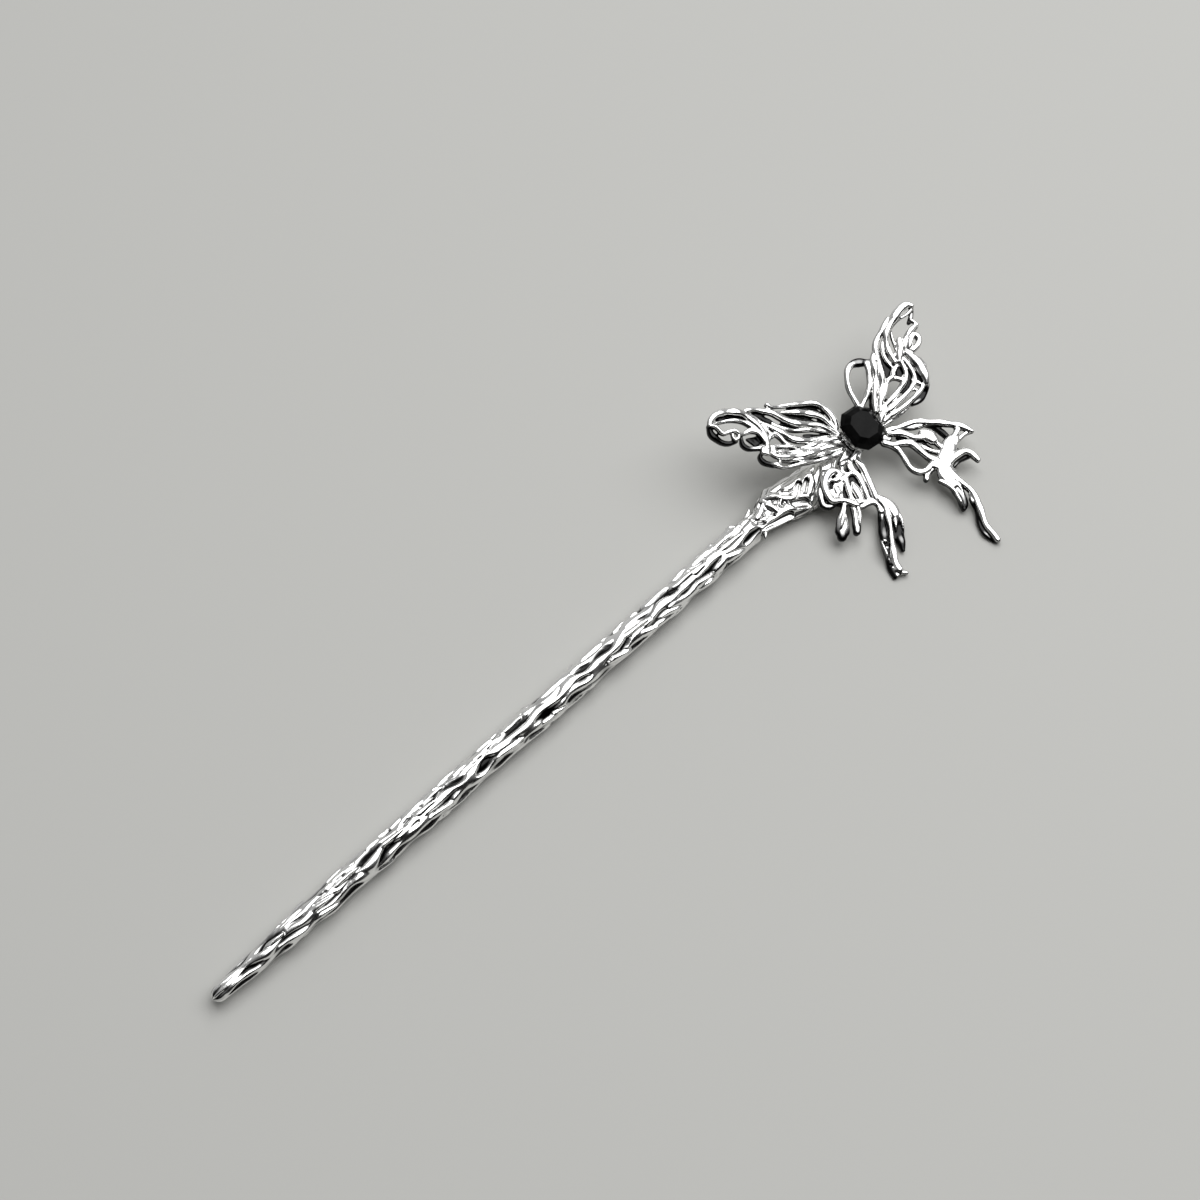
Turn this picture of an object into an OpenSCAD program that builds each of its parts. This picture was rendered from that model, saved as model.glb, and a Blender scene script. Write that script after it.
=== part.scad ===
// Hair stick with an openwork butterfly and a black faceted stone, in millimetres.
// It lies as it would be laid on a table: +X runs from the tip to the butterfly,
// +Y towards the butterfly's head and +Z up, with the middle of its footprint at the origin.
// Each piece is drawn in the pin's own frame, where the shaft's axis is X and the stone's
// axis is Z, and is then rolled about the shaft until the longest tail touches the table.

/* [Shaft] */
// Distance from the tip of the shaft to the middle of the stone
pin_length = 150; // [120:1:180]
// Diameter of the shaft where it meets the neck
shaft_d = 5.2; // [4.4:0.1:6]
// Diameter of the shaft where its point begins
point_start_d = 4.5; // [3.6:0.1:5]
// Length of the point
point_length = 26; // [15:1:40]
// Diameter of the blunt end
blunt_d = 2.6; // [1.6:0.1:3.2]
// Number of strands in the bark
bark_strands = 8; // [6:1:10]
// Length of one lens-shaped pit in the bark
bark_pitch = 7.6; // [5:0.1:12]
// Depth of the bark's pits
bark_depth = 0.5; // [0.2:0.05:0.7]
// How far a strand of bark sways round the shaft, in degrees
bark_sway = 12; // [4:1:16]
// Diameter of the tenon at the head of the shaft
tenon_d = 2.4; // [1.8:0.1:2.8]
// Length of the tenon
tenon_length = 8; // [4:0.5:12]

/* [Neck] */
// Distance from the middle of the stone to the shaft's shoulder
neck_reach = 26.5; // [22:0.5:34]
// Width of the neck at its widest
neck_width = 8.2; // [6.5:0.1:9]
// Thickness of the neck at its thickest
neck_thickness = 4.9; // [4.4:0.1:5.1]
// Diameter of the waist where the neck meets the shaft
waist_d = 4.4; // [4.2:0.1:5]
// Depth of the hollows between the nuggets
nugget_depth = 0.5; // [0.1:0.05:0.6]
// Gap round the tenon
tenon_clearance = 0.02; // [0.01:0.01:0.1]
// Room beyond the end of the tenon
tenon_end_room = 0.3; // [0.1:0.1:1]
// Diameter of the paddle under the butterfly
paddle_d = 5.4; // [5:0.1:6]
// Thickness of the paddle
paddle_thickness = 1.8; // [1.4:0.1:2.4]
// Height of the paddle's top over the shaft's axis
paddle_top = 1.7; // [1.2:0.1:2]

/* [Setting] */
// Diameter of the base plate
plate_d = 5.6; // [5.4:0.1:6.4]
// Thickness of the base plate
plate_thickness = 0.8; // [0.6:0.1:1.2]
// Diameter of the cup's foot
foot_d = 3; // [2.7:0.1:3.2]
// Room between the wing tabs and the cup above them
cup_room = 0.2; // [0.1:0.1:0.5]
// Thickness of the cup's floor above its foot
cup_floor = 0.6; // [0.5:0.1:1]
// Thickness of the cup's wall
cup_wall = 0.35; // [0.25:0.05:0.5]
// Diameter of the rivet's shank
rivet_d = 1.4; // [1.1:0.1:1.6]
// Diameter of the rivet's countersunk ends
rivet_head_d = 2.2; // [1.8:0.1:2.4]
// Depth of each countersink
countersink = 0.4; // [0.3:0.05:0.5]
// Gap round the rivet
rivet_clearance = 0.02; // [0.01:0.01:0.1]

/* [Stone] */
// Width of the stone along the pin
stone_width = 7; // [6.4:0.1:8]
// Length of the stone from head to tail
stone_length = 8.2; // [7.6:0.1:9.4]
// How much of each corner is cut off along the sides
corner_cut = 1.8; // [1:0.1:2]
// Angle through which the stone is turned from the pin's axis, in degrees
stone_turn = -7; // [-12:1:12]
// Share of the stone taken up by its table
table_share = 0.62; // [0.5:0.01:0.75]
// Height of the crown above the girdle
crown_height = 1.4; // [0.8:0.1:2]
// Thickness of the girdle
girdle = 0.25; // [0.15:0.05:0.5]
// Depth of the stone below the girdle
pavilion_depth = 1.4; // [1.1:0.1:2]
// Share of the stone taken up by the flat under it
culet_share = 0.44; // [0.42:0.01:0.48]
// Thickness of the adhesive under the stone
adhesive_thickness = 0.15; // [0.1:0.05:0.3]
// Height of the girdle over the cup's rim
girdle_proud = 0.6; // [0.5:0.05:0.8]
// Gap between the cup's wall and the stone
stone_clearance = 0.08; // [0.05:0.01:0.2]

/* [Wings] */
// Length of the left forewing from the stone's axis, which sets the scale of both forewings
forewing_length = 30; // [26:0.5:34]
// Length of the right hindwing from the stone's axis, which sets the scale of both hindwings
hindwing_length = 31.5; // [28:0.5:36]
// Angle at which the forewings rise, in degrees
forewing_raise = 11; // [8:1:15]
// Angle at which the left hindwing rises, in degrees
left_hindwing_raise = 1.5; // [1:0.5:4]
// Angle at which the right hindwing rises, in degrees
right_hindwing_raise = 4; // [2:0.5:6]
// Thickness of the tabs that hold the wings on the base plate
tab_thickness = 1; // [0.8:0.1:1.4]
// Distance from the stone's axis to the middle of each tab's inner end
tab_reach = 2.4; // [2.3:0.1:2.6]
// Width of each tab's inner corners
tab_corner_d = 1; // [0.8:0.1:1.1]
// Half-width added to every strand of the wings
strand_swell = 0.16; // [0.06:0.02:0.24]
// Half the depth of the thinnest strand
strand_depth = 0.45; // [0.35:0.05:0.6]
// Half the depth of the thickest strand
strand_depth_max = 0.9; // [0.7:0.05:1.1]

/* [Hidden] */

$fn = 48;
shaft_sides = 22;
neck_sides = 26;
neck_rings = 24;
strand_sides = 6;
step_turn = 44;
bead_sides = 6;
end_round = 0.55;
strand_stagger = 0.011;
tab_edge = 5;
sheet_low = -0.5;
sheet_thickness = 0.9;
depth_share = 0.8;
ring_gap = bark_pitch / 4;
tenon_root = 2;

// Heights in the pin's frame, from the shaft's axis.
plate_top = paddle_top + plate_thickness;
wing_z = plate_top + tab_thickness / 2;
bowl_z = plate_top + tab_thickness + cup_room;
floor_z = bowl_z + cup_floor;
culet_z = floor_z + adhesive_thickness;
girdle_z = culet_z + pavilion_depth;
crown_z = girdle_z + girdle;
table_z = crown_z + crown_height;
rim_z = girdle_z - girdle_proud;
paddle_floor = paddle_top - paddle_thickness;

// Wings as [heading, rise, scale, first and last heading of the tab].
forewing_scale = forewing_length / 30;
hindwing_scale = hindwing_length / 31.5;
left_fore = [145, forewing_raise, forewing_scale, 128, 158];
right_fore = [25, forewing_raise, forewing_scale, -6, 40];
left_hind = [240, left_hindwing_raise, hindwing_scale, 194, 222];
right_hind = [276, right_hindwing_raise, hindwing_scale, 296, 318];

// Strands as [height over the wing's plane, points of [along the wing, across it, half-width]].
// Across is positive towards the tail on the left forewing, towards the head on the right
// forewing, and away from the neck on both hindwings.
left_fore_strands = [
    [0.2, [[3.7, 0.8, 0.5], [4.3, -0.8, 0.55], [4.7, -2.4, 0.6], [5.4, -4.1, 0.65], [6.5, -5.4, 0.6],
           [8.2, -6, 0.55], [11, -5.8, 0.45], [14.5, -5.7, 0.38], [17, -5.6, 0.33]]],
    [0, [[6.6, -5.1, 0.34], [9, -5.2, 0.28], [12, -5.2, 0.26], [15, -5.1, 0.26], [18, -5.1, 0.3]]],
    [0, [[5.4, -0.6, 0.42], [6.4, -1.8, 0.48], [7.5, -2.9, 0.6], [9, -3.5, 0.85], [11, -3.6, 0.9],
         [13, -3.8, 0.7], [15, -4, 0.55], [16.8, -3.9, 0.5]]],
    [0.25, [[4.8, -0.1, 0.48], [7, -1.2, 0.55], [9, -1.7, 0.6], [12, -1.8, 0.55], [14, -2, 0.55],
            [15.6, -2.5, 0.5], [16.6, -3.6, 0.5], [18.5, -4.5, 0.5], [20.5, -4.8, 0.45],
            [23.5, -4.3, 0.5]]],
    [-0.1, [[4.8, 0.2, 0.48], [7.5, 0.2, 0.45], [10, 0.1, 0.4], [13, -0.3, 0.4], [15, -0.9, 0.45],
            [16.6, -1.7, 0.5], [18, -2.4, 0.45], [19.8, -2.7, 0.42]]],
    [0.2, [[4.8, 0.8, 0.48], [8.2, 1.3, 0.4], [10, 2.1, 0.4], [12, 2.4, 0.4], [14, 2, 0.45],
           [15.4, 0.9, 0.45], [16.8, 0, 0.45], [18.2, -1.1, 0.5], [19.4, -2.3, 0.5], [20.8, -3.5, 0.5],
           [22.4, -4.2, 0.5]]],
    [0.3, [[21.6, -4.2, 0.45], [23, -4.3, 0.55], [24.5, -4.2, 0.6], [26, -3.8, 0.6], [27.5, -3.1, 0.6],
           [28.9, -2.1, 0.55], [29.5, -1, 0.5]]],
    [-0.4, [[29.5, -1.2, 0.5], [28.9, 0, 0.5], [27.8, 0.8, 0.5], [26.2, 1.3, 0.45], [24.8, 1, 0.42]]],
    [0.1, [[20.1, 0.6, 0.38], [20.1, -0.5, 0.34], [20.8, -1.6, 0.32], [22.2, -2.3, 0.32],
           [24.2, -2.4, 0.32], [26.6, -2, 0.32], [29, -1.2, 0.38]]],
    [0.2, [[20.1, 0.6, 0.38], [21.5, -0.2, 0.38], [23.2, 0.1, 0.38], [25.2, 0, 0.36], [26.8, 0.2, 0.36],
           [27.6, -0.4, 0.4], [29, -1, 0.42]]],
    [0.3, [[23.8, 0.15, 0.28], [24, 1, 0.3], [24.6, 1.3, 0.3], [25.1, 1, 0.3], [25.3, 0.1, 0.28]]],
    [0.2, [[18.7, 2.9, 0.5], [18.5, 1.5, 0.42], [17.8, 0.4, 0.42], [17.1, -0.3, 0.42]]],
    [0.1, [[18.9, 2.6, 0.45], [19.3, 1.3, 0.38], [20.1, 0.5, 0.4]]],
    [-0.1, [[19, 2.8, 0.45], [20.3, 2.8, 0.38], [21.6, 2.9, 0.4], [22.9, 2.6, 0.42], [23.5, 1.7, 0.42],
            [22.9, 0.8, 0.42], [21.7, 0.15, 0.4]]],
    [-0.2, [[16.8, 6, 0.45], [18.5, 6.1, 0.45], [19.8, 5.6, 0.45], [20.4, 4.7, 0.45],
            [19.6, 3.7, 0.55]]],
    [0, [[4.8, 1.4, 0.45], [7, 2.1, 0.38], [9, 2.6, 0.36], [11, 3, 0.36], [13, 2.8, 0.34],
         [15, 3, 0.34], [18.2, 3.2, 0.45]]],
    [0.15, [[4.8, 1.9, 0.45], [7, 2.9, 0.42], [9, 3.4, 0.42], [11, 3.7, 0.42], [13, 3.8, 0.42],
            [15, 4, 0.42], [17, 3.9, 0.42], [18.6, 3.6, 0.5]]],
    [0.25, [[4.8, 2.4, 0.5], [7.5, 3.7, 0.5], [9.5, 4.3, 0.52], [11.5, 4.6, 0.55], [13.5, 4.9, 0.55],
            [15.5, 5, 0.52], [17.2, 4.8, 0.5], [18.6, 3.9, 0.6]]],
    [-0.2, [[6.2, 3.2, 0.45], [9, 5, 0.38], [11, 5.7, 0.36], [13.5, 6.1, 0.36], [16, 6.4, 0.38],
            [17.4, 6, 0.45]]]];

right_fore_strands = [
    [0.1, [[4.4, 0.8, 0.48], [5.3, 2.2, 0.42], [6, 3.3, 0.42], [6.8, 4.4, 0.42], [8, 5.5, 0.45],
           [9.5, 6.1, 0.5], [11, 6.1, 0.6], [12.2, 5.5, 0.75], [12.9, 4.6, 0.75], [13.3, 3.5, 0.6]]],
    [0.15, [[13.5, 3.6, 0.5], [12.4, 2.8, 0.45], [11, 2.2, 0.42], [9, 1.7, 0.4], [7, 1.3, 0.4],
            [4.6, 0.5, 0.48]]],
    [0.2, [[4.6, -0.3, 0.5], [6.5, -0.4, 0.5], [8.5, -0.2, 0.55], [10.5, 0.2, 0.65], [12, 0.8, 0.75],
           [13.3, 1.7, 0.7], [14.2, 2.7, 0.55], [15.2, 3.2, 0.42]]],
    [-0.1, [[5, 0.2, 0.42], [8, 0.8, 0.36], [10, 1, 0.38], [12, 1.7, 0.4], [13.6, 2.9, 0.42]]],
    [0.1, [[13.6, -1.2, 0.38], [14, 0, 0.36], [14.5, 1.3, 0.36], [15.3, 2.6, 0.38], [16.2, 3.3, 0.4],
           [17.4, 3.4, 0.4], [19, 3.2, 0.38], [21, 2.9, 0.36], [22.9, 2.3, 0.38]]],
    [0, [[14.8, -1.2, 0.38], [15, 0.6, 0.34], [15.6, 1.8, 0.36], [16.9, 2.5, 0.36], [18.8, 2.4, 0.38]]],
    [0.25, [[15.6, -1.2, 0.48], [16.2, 0.1, 0.48], [17.1, 1.3, 0.52], [18.6, 2.1, 0.55],
            [20.2, 2.4, 0.6], [22, 2.2, 0.6], [24, 1.6, 0.6], [25.5, 1, 0.55], [26.3, 0.3, 0.5],
            [26.6, -0.8, 0.4]]],
    [0, [[16.8, -0.4, 0.45], [17.6, 0.6, 0.36], [18.8, 1.3, 0.34], [20.2, 1.5, 0.34], [21.8, 1.2, 0.34],
         [23.2, 0.6, 0.38], [24.4, 0.2, 0.42], [25.8, 0.4, 0.42]]],
    [-0.1, [[22.8, 0.8, 0.38], [23.5, -0.1, 0.42], [23.7, -0.9, 0.42], [23.3, -1.9, 0.4]]],
    [0.1, [[17, -1.2, 0.5], [19, -1.4, 0.42], [21, -1.4, 0.42], [22.6, -1.9, 0.4], [23.9, -2.4, 0.38]]],
    [0.2, [[16.6, -2.5, 0.45], [18.6, -2.2, 0.42], [20, -2, 0.45], [21.3, -2.2, 0.45], [21.7, -3, 0.45],
           [21, -3.6, 0.45], [19.9, -3.5, 0.45], [18.6, -3, 0.4], [17.2, -2.9, 0.44]]],
    [0.15, [[4.9, -1.2, 0.45], [7.6, -2.4, 0.42], [9, -3.2, 0.45], [10.4, -3.9, 0.48], [12, -4.3, 0.5],
            [13.3, -4.1, 0.48], [14.4, -3.4, 0.46], [15.4, -2.5, 0.46], [16.2, -1.4, 0.5]]],
    [0, [[12.3, -5.1, 0.36], [14.1, -4.6, 0.34], [15.4, -3.6, 0.34], [16.3, -2.5, 0.36],
         [17, -1.2, 0.42]]],
    [0.1, [[4.2, -1.9, 0.45], [6.6, -3.6, 0.4], [9, -4.3, 0.4], [11, -5, 0.42], [12.6, -5.3, 0.42],
           [14, -5.2, 0.42], [15.6, -4.6, 0.5]]],
    [0.1, [[3.9, -2.4, 0.45], [6, -5, 0.42], [7.6, -5.8, 0.42], [9.2, -6.5, 0.42], [10.8, -7.1, 0.44],
           [12.4, -7.5, 0.46], [13.8, -7.7, 0.5], [15, -7.3, 0.6], [16.2, -6.3, 0.6]]],
    [0.05, [[5.6, -1.2, 0.42], [7.5, -1.5, 0.36], [9, -1.6, 0.34], [10.7, -1.7, 0.34],
            [11.5, -2.4, 0.36], [11.9, -3.8, 0.4]]],
    [0.1, [[12.4, 0.4, 0.5], [12.5, -1.6, 0.45], [12.3, -2.7, 0.5], [12.7, -4, 0.45]]],
    [0.05, [[12.8, -1.7, 0.38], [14.2, -1.7, 0.36], [15.6, -1.3, 0.42]]]];

left_hind_strands = [
    [0.2, [[3.6, -1.2, 0.45], [5.6, -1.5, 0.42], [7, -1, 0.42], [8.6, -0.6, 0.42], [10.2, -0.5, 0.42],
           [11.8, -0.4, 0.42], [13, -0.6, 0.42]]],
    [0.05, [[4, -1.6, 0.4], [6.2, -1.9, 0.36], [8, -1.9, 0.36], [10, -1.9, 0.36], [12, -1.7, 0.36],
            [13.2, -1.2, 0.38]]],
    [0.15, [[12.6, -0.3, 0.45], [13.4, 0.5, 0.7], [14.8, 1.3, 1], [16.6, 1.7, 1.2], [18.6, 1.8, 1.2],
            [20.4, 1.9, 1], [21.6, 1.9, 0.7], [22.6, 1.7, 0.35]]],
    [0.05, [[12.8, -0.5, 0.42], [15, -0.2, 0.45], [17, 0, 0.5], [19, 0.1, 0.55], [21, -0.1, 0.55],
            [23, -0.3, 0.52], [25, -0.4, 0.5], [27, -0.4, 0.5]]],
    [-0.1, [[14.4, -0.6, 0.32], [17, -0.6, 0.34], [20, -0.7, 0.36], [23, -1.1, 0.36], [26, -1.2, 0.36],
            [27.6, -0.9, 0.4]]],
    [0.1, [[13.2, -0.6, 0.4], [13.3, -2.2, 0.36], [13.4, -3.4, 0.36], [13.4, -4.6, 0.42]]],
    [0, [[11.6, -4.9, 0.42], [13.2, -4.7, 0.55], [15, -4.9, 0.66], [16.8, -5.1, 0.72],
         [18, -5.3, 0.62]]],
    [-0.1, [[11.6, -6.4, 0.42], [13, -6.8, 0.5], [14.4, -7.1, 0.66], [15.8, -7.5, 0.95],
            [17.1, -7.7, 1.2], [18, -7.8, 1]]],
    [0, [[12.3, -6.6, 0.4], [12.4, -8, 0.4], [12.6, -9.2, 0.45], [12.8, -10.1, 0.5]]],
    [0.4, [[3.6, -4.4, 0.5], [5.2, -6.8, 0.5], [6.2, -7.9, 0.5], [7.6, -8.7, 0.5], [9.2, -9.1, 0.48],
           [10.8, -9.1, 0.46], [12.4, -9.4, 0.42]]],
    [0.1, [[6.6, -8.2, 0.4], [8.6, -9.4, 0.36], [10.6, -10, 0.36], [12.4, -10.3, 0.4]]],
    [0.1, [[7.4, -3, 0.38], [9, -2.6, 0.36], [10.6, -2.5, 0.36], [12.2, -2.4, 0.36],
           [13.3, -2.6, 0.38]]],
    [0, [[8.2, -3.8, 0.36], [10.6, -3.8, 0.32], [12.2, -3.6, 0.32], [13.4, -3.4, 0.34]]],
    [0.1, [[8.2, -2.6, 0.38], [8, -3.8, 0.38], [8.7, -4.7, 0.4], [10.2, -5, 0.42], [12, -4.9, 0.45]]],
    [0.05, [[8.6, -5, 0.38], [9.4, -6.1, 0.38], [11, -6.3, 0.38], [12.6, -6.2, 0.38], [13.6, -5, 0.4]]],
    [0.2, [[3.7, -2, 0.45], [6, -3.6, 0.36], [7.4, -3, 0.36], [8.4, -2.6, 0.38]]],
    [0.15, [[3.5, -3.4, 0.45], [6, -5.2, 0.36], [7.2, -4.6, 0.34], [7.4, -3.2, 0.36]]],
    [0.15, [[4.4, -5.4, 0.45], [6.2, -5.6, 0.4], [7.6, -5.3, 0.4], [9, -4.9, 0.4]]]];

right_hind_strands = [
    [0.15, [[3.4, 1.9, 0.48], [5.2, 3.1, 0.45], [6.6, 3.5, 0.42], [7.4, 4.5, 0.42], [8.8, 4.9, 0.42],
            [10.6, 4.9, 0.42], [12.4, 5, 0.45], [14, 5.1, 0.6]]],
    [0, [[5.4, 3, 0.45], [7.5, 2.7, 0.42], [9, 2.1, 0.42], [10.4, 1.4, 0.42], [11.8, 1.1, 0.42],
         [12.9, 1.5, 0.42], [13.4, 2.5, 0.42], [13.5, 3.8, 0.48], [14, 4.9, 0.6]]],
    [-0.4, [[4.4, 2, 0.36], [6.4, 2.2, 0.34], [8.6, 1.8, 0.34], [10.4, 1, 0.36], [12, 0.7, 0.36],
            [13.6, 0.9, 0.36], [15, 1.4, 0.38]]],
    [0.1, [[12.8, 5, 0.6], [14.6, 5, 1.3], [16.4, 4.6, 1.5], [18, 4.5, 1.2], [19.6, 4.5, 0.8]]],
    [0.15, [[15.4, 5.6, 0.6], [17.4, 5.6, 0.55], [19.4, 5.5, 0.5], [21.4, 5.5, 0.5], [23, 5.2, 0.52],
            [24.4, 4.5, 0.55], [25.6, 3.5, 0.52], [26.8, 2.5, 0.5], [28.2, 1.8, 0.5], [29.8, 1.4, 0.5],
            [31.2, 1.3, 0.45]]],
    [0, [[16.4, 3.6, 0.6], [18.2, 3.6, 0.5], [20, 3.8, 0.46], [21.2, 3.4, 0.44], [22.2, 2.8, 0.42],
         [23.2, 2.7, 0.4]]],
    [0.1, [[15.2, 5.8, 0.9], [15.8, 7.6, 0.85], [16, 9, 0.78], [16, 10.3, 0.7], [16.6, 11.3, 0.6],
           [17.8, 11.7, 0.54], [19.2, 11.2, 0.5]]],
    [0.1, [[3.5, 2.7, 0.42], [3.9, 5, 0.36], [4.6, 7.2, 0.34], [5.4, 9.2, 0.34], [6.4, 10.9, 0.34],
           [7.8, 12, 0.34], [9.4, 12.5, 0.36], [10.8, 13, 0.42]]],
    [0.2, [[3.7, 2.6, 0.45], [4.6, 5.2, 0.42], [5.4, 7.2, 0.42], [6.2, 8.8, 0.46], [7.2, 10.2, 0.5],
           [8.6, 11.5, 0.54], [10.2, 12.6, 0.56], [11.8, 13.9, 0.56], [13.3, 14.9, 0.54],
           [14.8, 15.2, 0.46]]],
    [0.05, [[14.7, 15, 0.36], [14.3, 13.9, 0.3], [14.2, 12.8, 0.28], [14.7, 11.8, 0.28],
            [15.7, 10.8, 0.32]]],
    [0.15, [[3.9, 2.5, 0.45], [5.4, 5.4, 0.42], [6.8, 6.5, 0.42], [8.2, 7.1, 0.45], [9.6, 7.3, 0.45],
            [11.2, 7, 0.4], [12.4, 7.4, 0.42], [13.6, 7.6, 0.5]]],
    [0.05, [[10.4, 5.1, 0.36], [12.2, 5.5, 0.36], [13.4, 5.9, 0.4], [13.9, 6.7, 0.44],
            [13.3, 7.6, 0.44]]],
    [0, [[9.2, 10, 0.38], [9.9, 11.3, 0.34], [10.8, 12.8, 0.42]]],
    [0, [[10.2, 12, 0.4], [11.6, 11.4, 0.32], [12.8, 11, 0.4]]]];

// Beads, drops and webs, each a list of [along, across, height, radius] that is filled between.
left_fore_webs = [
    [[16.8, -5.5, 0.1, 0.4], [17.3, -5.5, 0.1, 0.5]],
    [[18.6, 3.5, 0.3, 0.95], [19.4, 3.2, 0.2, 0.7]],
    [[20, 3.4, 0, 0.4], [20.7, 3.5, 0, 0.42]],
    [[21.4, -3.3, -0.2, 0.5], [24, -3.4, -0.2, 0.5]],
    [[24, -3.4, -0.2, 0.5], [26.5, -2.9, -0.2, 0.5]],
    [[26.5, -2.9, -0.2, 0.5], [28.6, -1.9, -0.2, 0.5]],
    [[5.6, 2, -0.2, 0.4], [10, 3.4, -0.3, 0.4]],
    [[10, 3.4, -0.3, 0.4], [14, 4.2, -0.3, 0.4]],
    [[14, 4.2, -0.3, 0.4], [18, 4, -0.2, 0.4]]];

right_fore_webs = [
    [[16.9, -3.4, 0.1, 0.7], [16.7, -4.4, 0.1, 1.05]],
    [[16.7, -4.4, 0.1, 1.05], [16.5, -5.5, 0.1, 1.1]],
    [[16.5, -5.5, 0.1, 1.1], [15.8, -6.5, 0.1, 0.9]],
    [[17, -1, 0.1, 0.7], [18.4, -0.8, 0.1, 0.6]],
    [[4.4, -2, 0.2, 0.5], [5.6, -2.6, 0.2, 0.55]],
    [[13.5, 3.6, 0.2, 0.4], [14.1, 4.6, 0.2, 0.35]],
    [[8.2, -0.3, 0.3, 0.5], [12.6, 1.2, 0.3, 0.7]],
    [[12.2, -5.2, 0, 0.4], [12.3, -7.4, 0, 0.4]],
    [[13.6, -5.2, 0, 0.42], [13.5, -7.6, 0, 0.42]]];

left_hind_webs = [
    [[9.4, -0.6, 0, 0.35], [9.4, -1.9, 0, 0.35]],
    [[26.6, -0.4, 0, 0.5], [27.1, 1, 0, 0.45]],
    [[27.1, 0.9, 0, 0.45], [27.7, 0.1, -0.1, 0.45]],
    [[5.2, -6.2, 0, 0.45], [6.6, -5.8, 0, 0.45], [6.4, -7.8, 0.1, 0.45]],
    [[6.6, -6, 0, 0.42], [7.6, -8.4, 0.2, 0.42], [6.4, -7.8, 0.1, 0.45]],
    [[10.4, -6.6, 0, 0.42], [11.8, -6.5, 0, 0.42], [11.8, -9, 0.2, 0.42], [10.2, -8.8, 0.2, 0.42]],
    [[7.8, -7, 0.1, 0.36], [10.2, -7.4, 0, 0.36]],
    [[7.6, -8.2, 0.2, 0.36], [8.8, -6.4, 0, 0.36]],
    [[9.4, -5.2, 0, 0.38], [9.2, -6.2, 0, 0.38]]];

right_hind_webs = [
    [[14.4, 1.3, -0.1, 0.42], [14.9, 1.6, 0.1, 0.52]],
    [[12.8, 1.3, -0.1, 0.4], [14.4, 1.2, -0.1, 0.42]],
    [[19.2, 4.6, -0.2, 0.55], [21.6, 4.8, -0.2, 0.5], [22.8, 4.2, -0.2, 0.45]],
    [[30.2, 0.9, 0, 0.5], [31, 0.9, 0, 0.55]],
    [[19.2, 11.3, 0, 0.48], [19.3, 10.8, -0.1, 0.45]],
    [[14.3, 6.7, 0.1, 0.6], [12.7, 8.2, 0.1, 0.5], [14.6, 9.6, 0.1, 0.5]],
    [[12.7, 8.2, 0.1, 0.5], [14.6, 9.6, 0.1, 0.5], [13, 12.8, 0.1, 0.32]],
    [[8.6, 7.4, 0.1, 0.48], [8.5, 8.8, 0.1, 0.45], [9.3, 10.2, 0.1, 0.42], [10.6, 9.2, 0.1, 0.42],
     [10.6, 7.3, 0.1, 0.45]],
    [[8.5, 8.8, 0.1, 0.42], [6.6, 9, 0.1, 0.4]]];

// Recessed sheets between the strands, each an outline of [along, across] and a list of round
// holes of [along, across, radius].
left_fore_sheets = [
    [[[5.4, -0.6], [7.5, -2.9], [9, -3.5], [13, -3.8], [16.8, -3.9], [18.5, -4.5], [20.5, -4.8],
      [22.4, -4.2], [20.8, -3.5], [19.4, -2.3], [18, -2.4], [16.6, -1.7], [15, -0.9], [13, -0.3],
      [10, 0.1], [7.5, 0.2], [4.8, 0]], []],
    [[[6.2, 3.2], [9.5, 4.3], [13.5, 4.9], [17.2, 4.8], [16.8, 6.2], [13.5, 6.1], [9, 5]], []]];

right_fore_sheets = [
    [[[13.6, -1.2], [14, 0], [14.5, 1.3], [15.3, 2.6], [16.2, 3.3], [17.4, 3.4], [19, 3.2], [21, 2.9],
      [23, 2], [24, 1.6], [25.5, 1], [26, 0.6], [24.4, 0.2], [23.2, 0.6], [21.8, 1.2], [20.2, 1.5],
      [18.8, 1.3], [17.6, 0.6], [16.2, -0.2], [15.6, -1.2]], []],
    [[[12, 0.8], [13.3, 1.7], [14.2, 1.2], [13.9, -0.2], [13.4, -1.5], [12.5, -1.6]], []]];

left_hind_sheets = [
    [[[5.2, -6.5], [6.2, -7.9], [7.6, -8.7], [9.2, -9.1], [10.8, -9.1], [12.4, -9.4], [12.3, -6.6],
      [11, -6.3], [9.4, -6.1], [8.6, -5], [6.2, -5.6]],
     [[7.6, -7, 0.5], [9, -7.9, 0.35], [10.8, -7.8, 0.45]]],
    [[[6.6, -8.2], [8.6, -9.4], [10.6, -10], [12.4, -10.3], [12.6, -9.3], [10.8, -9.1], [9.2, -9.1],
      [7.6, -8.7]], []],
    [[[4, -1.4], [5.6, -1.5], [7, -1], [8, -0.8], [8, -1.9], [6.2, -1.9]], []],
    [[[8, -1.9], [12, -1.7], [13.2, -1.2], [13.3, -2.5], [10.6, -2.5], [8.4, -2.6]], []],
    [[[12.6, -0.3], [14.8, 0.6], [17, 0.8], [19, 1], [21, 1.2], [22.4, 1.5], [23, 0.4], [21, -0.1],
      [19, 0.1], [17, 0], [15, -0.2]], []]];

right_hind_sheets = [
    [[[12.9, 7.6], [14.3, 4.8], [15.6, 5.2], [16.2, 7.6], [15, 9.4]], []],
    [[[15.4, 5.6], [19.4, 5.5], [21.4, 5.5], [22.6, 5.2], [22, 3], [21.2, 3.4], [20, 3.8], [16.4, 3.6]],
     []],
    [[[3.7, 2.6], [4.6, 5.2], [5.4, 7.2], [6.2, 8.8], [7.2, 10.2], [8.6, 11.5], [10.2, 12.6],
      [10.6, 12.9], [9.4, 12.5], [7.8, 12], [6.4, 10.9], [5.4, 9.2], [4.6, 7.2], [3.9, 5]], []],
    [[[4.7, 5.4], [5.5, 7.4], [6.3, 8.9], [8.9, 8.7], [8.9, 7.5], [6.8, 6.5], [5.4, 5.4]], []]];

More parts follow.
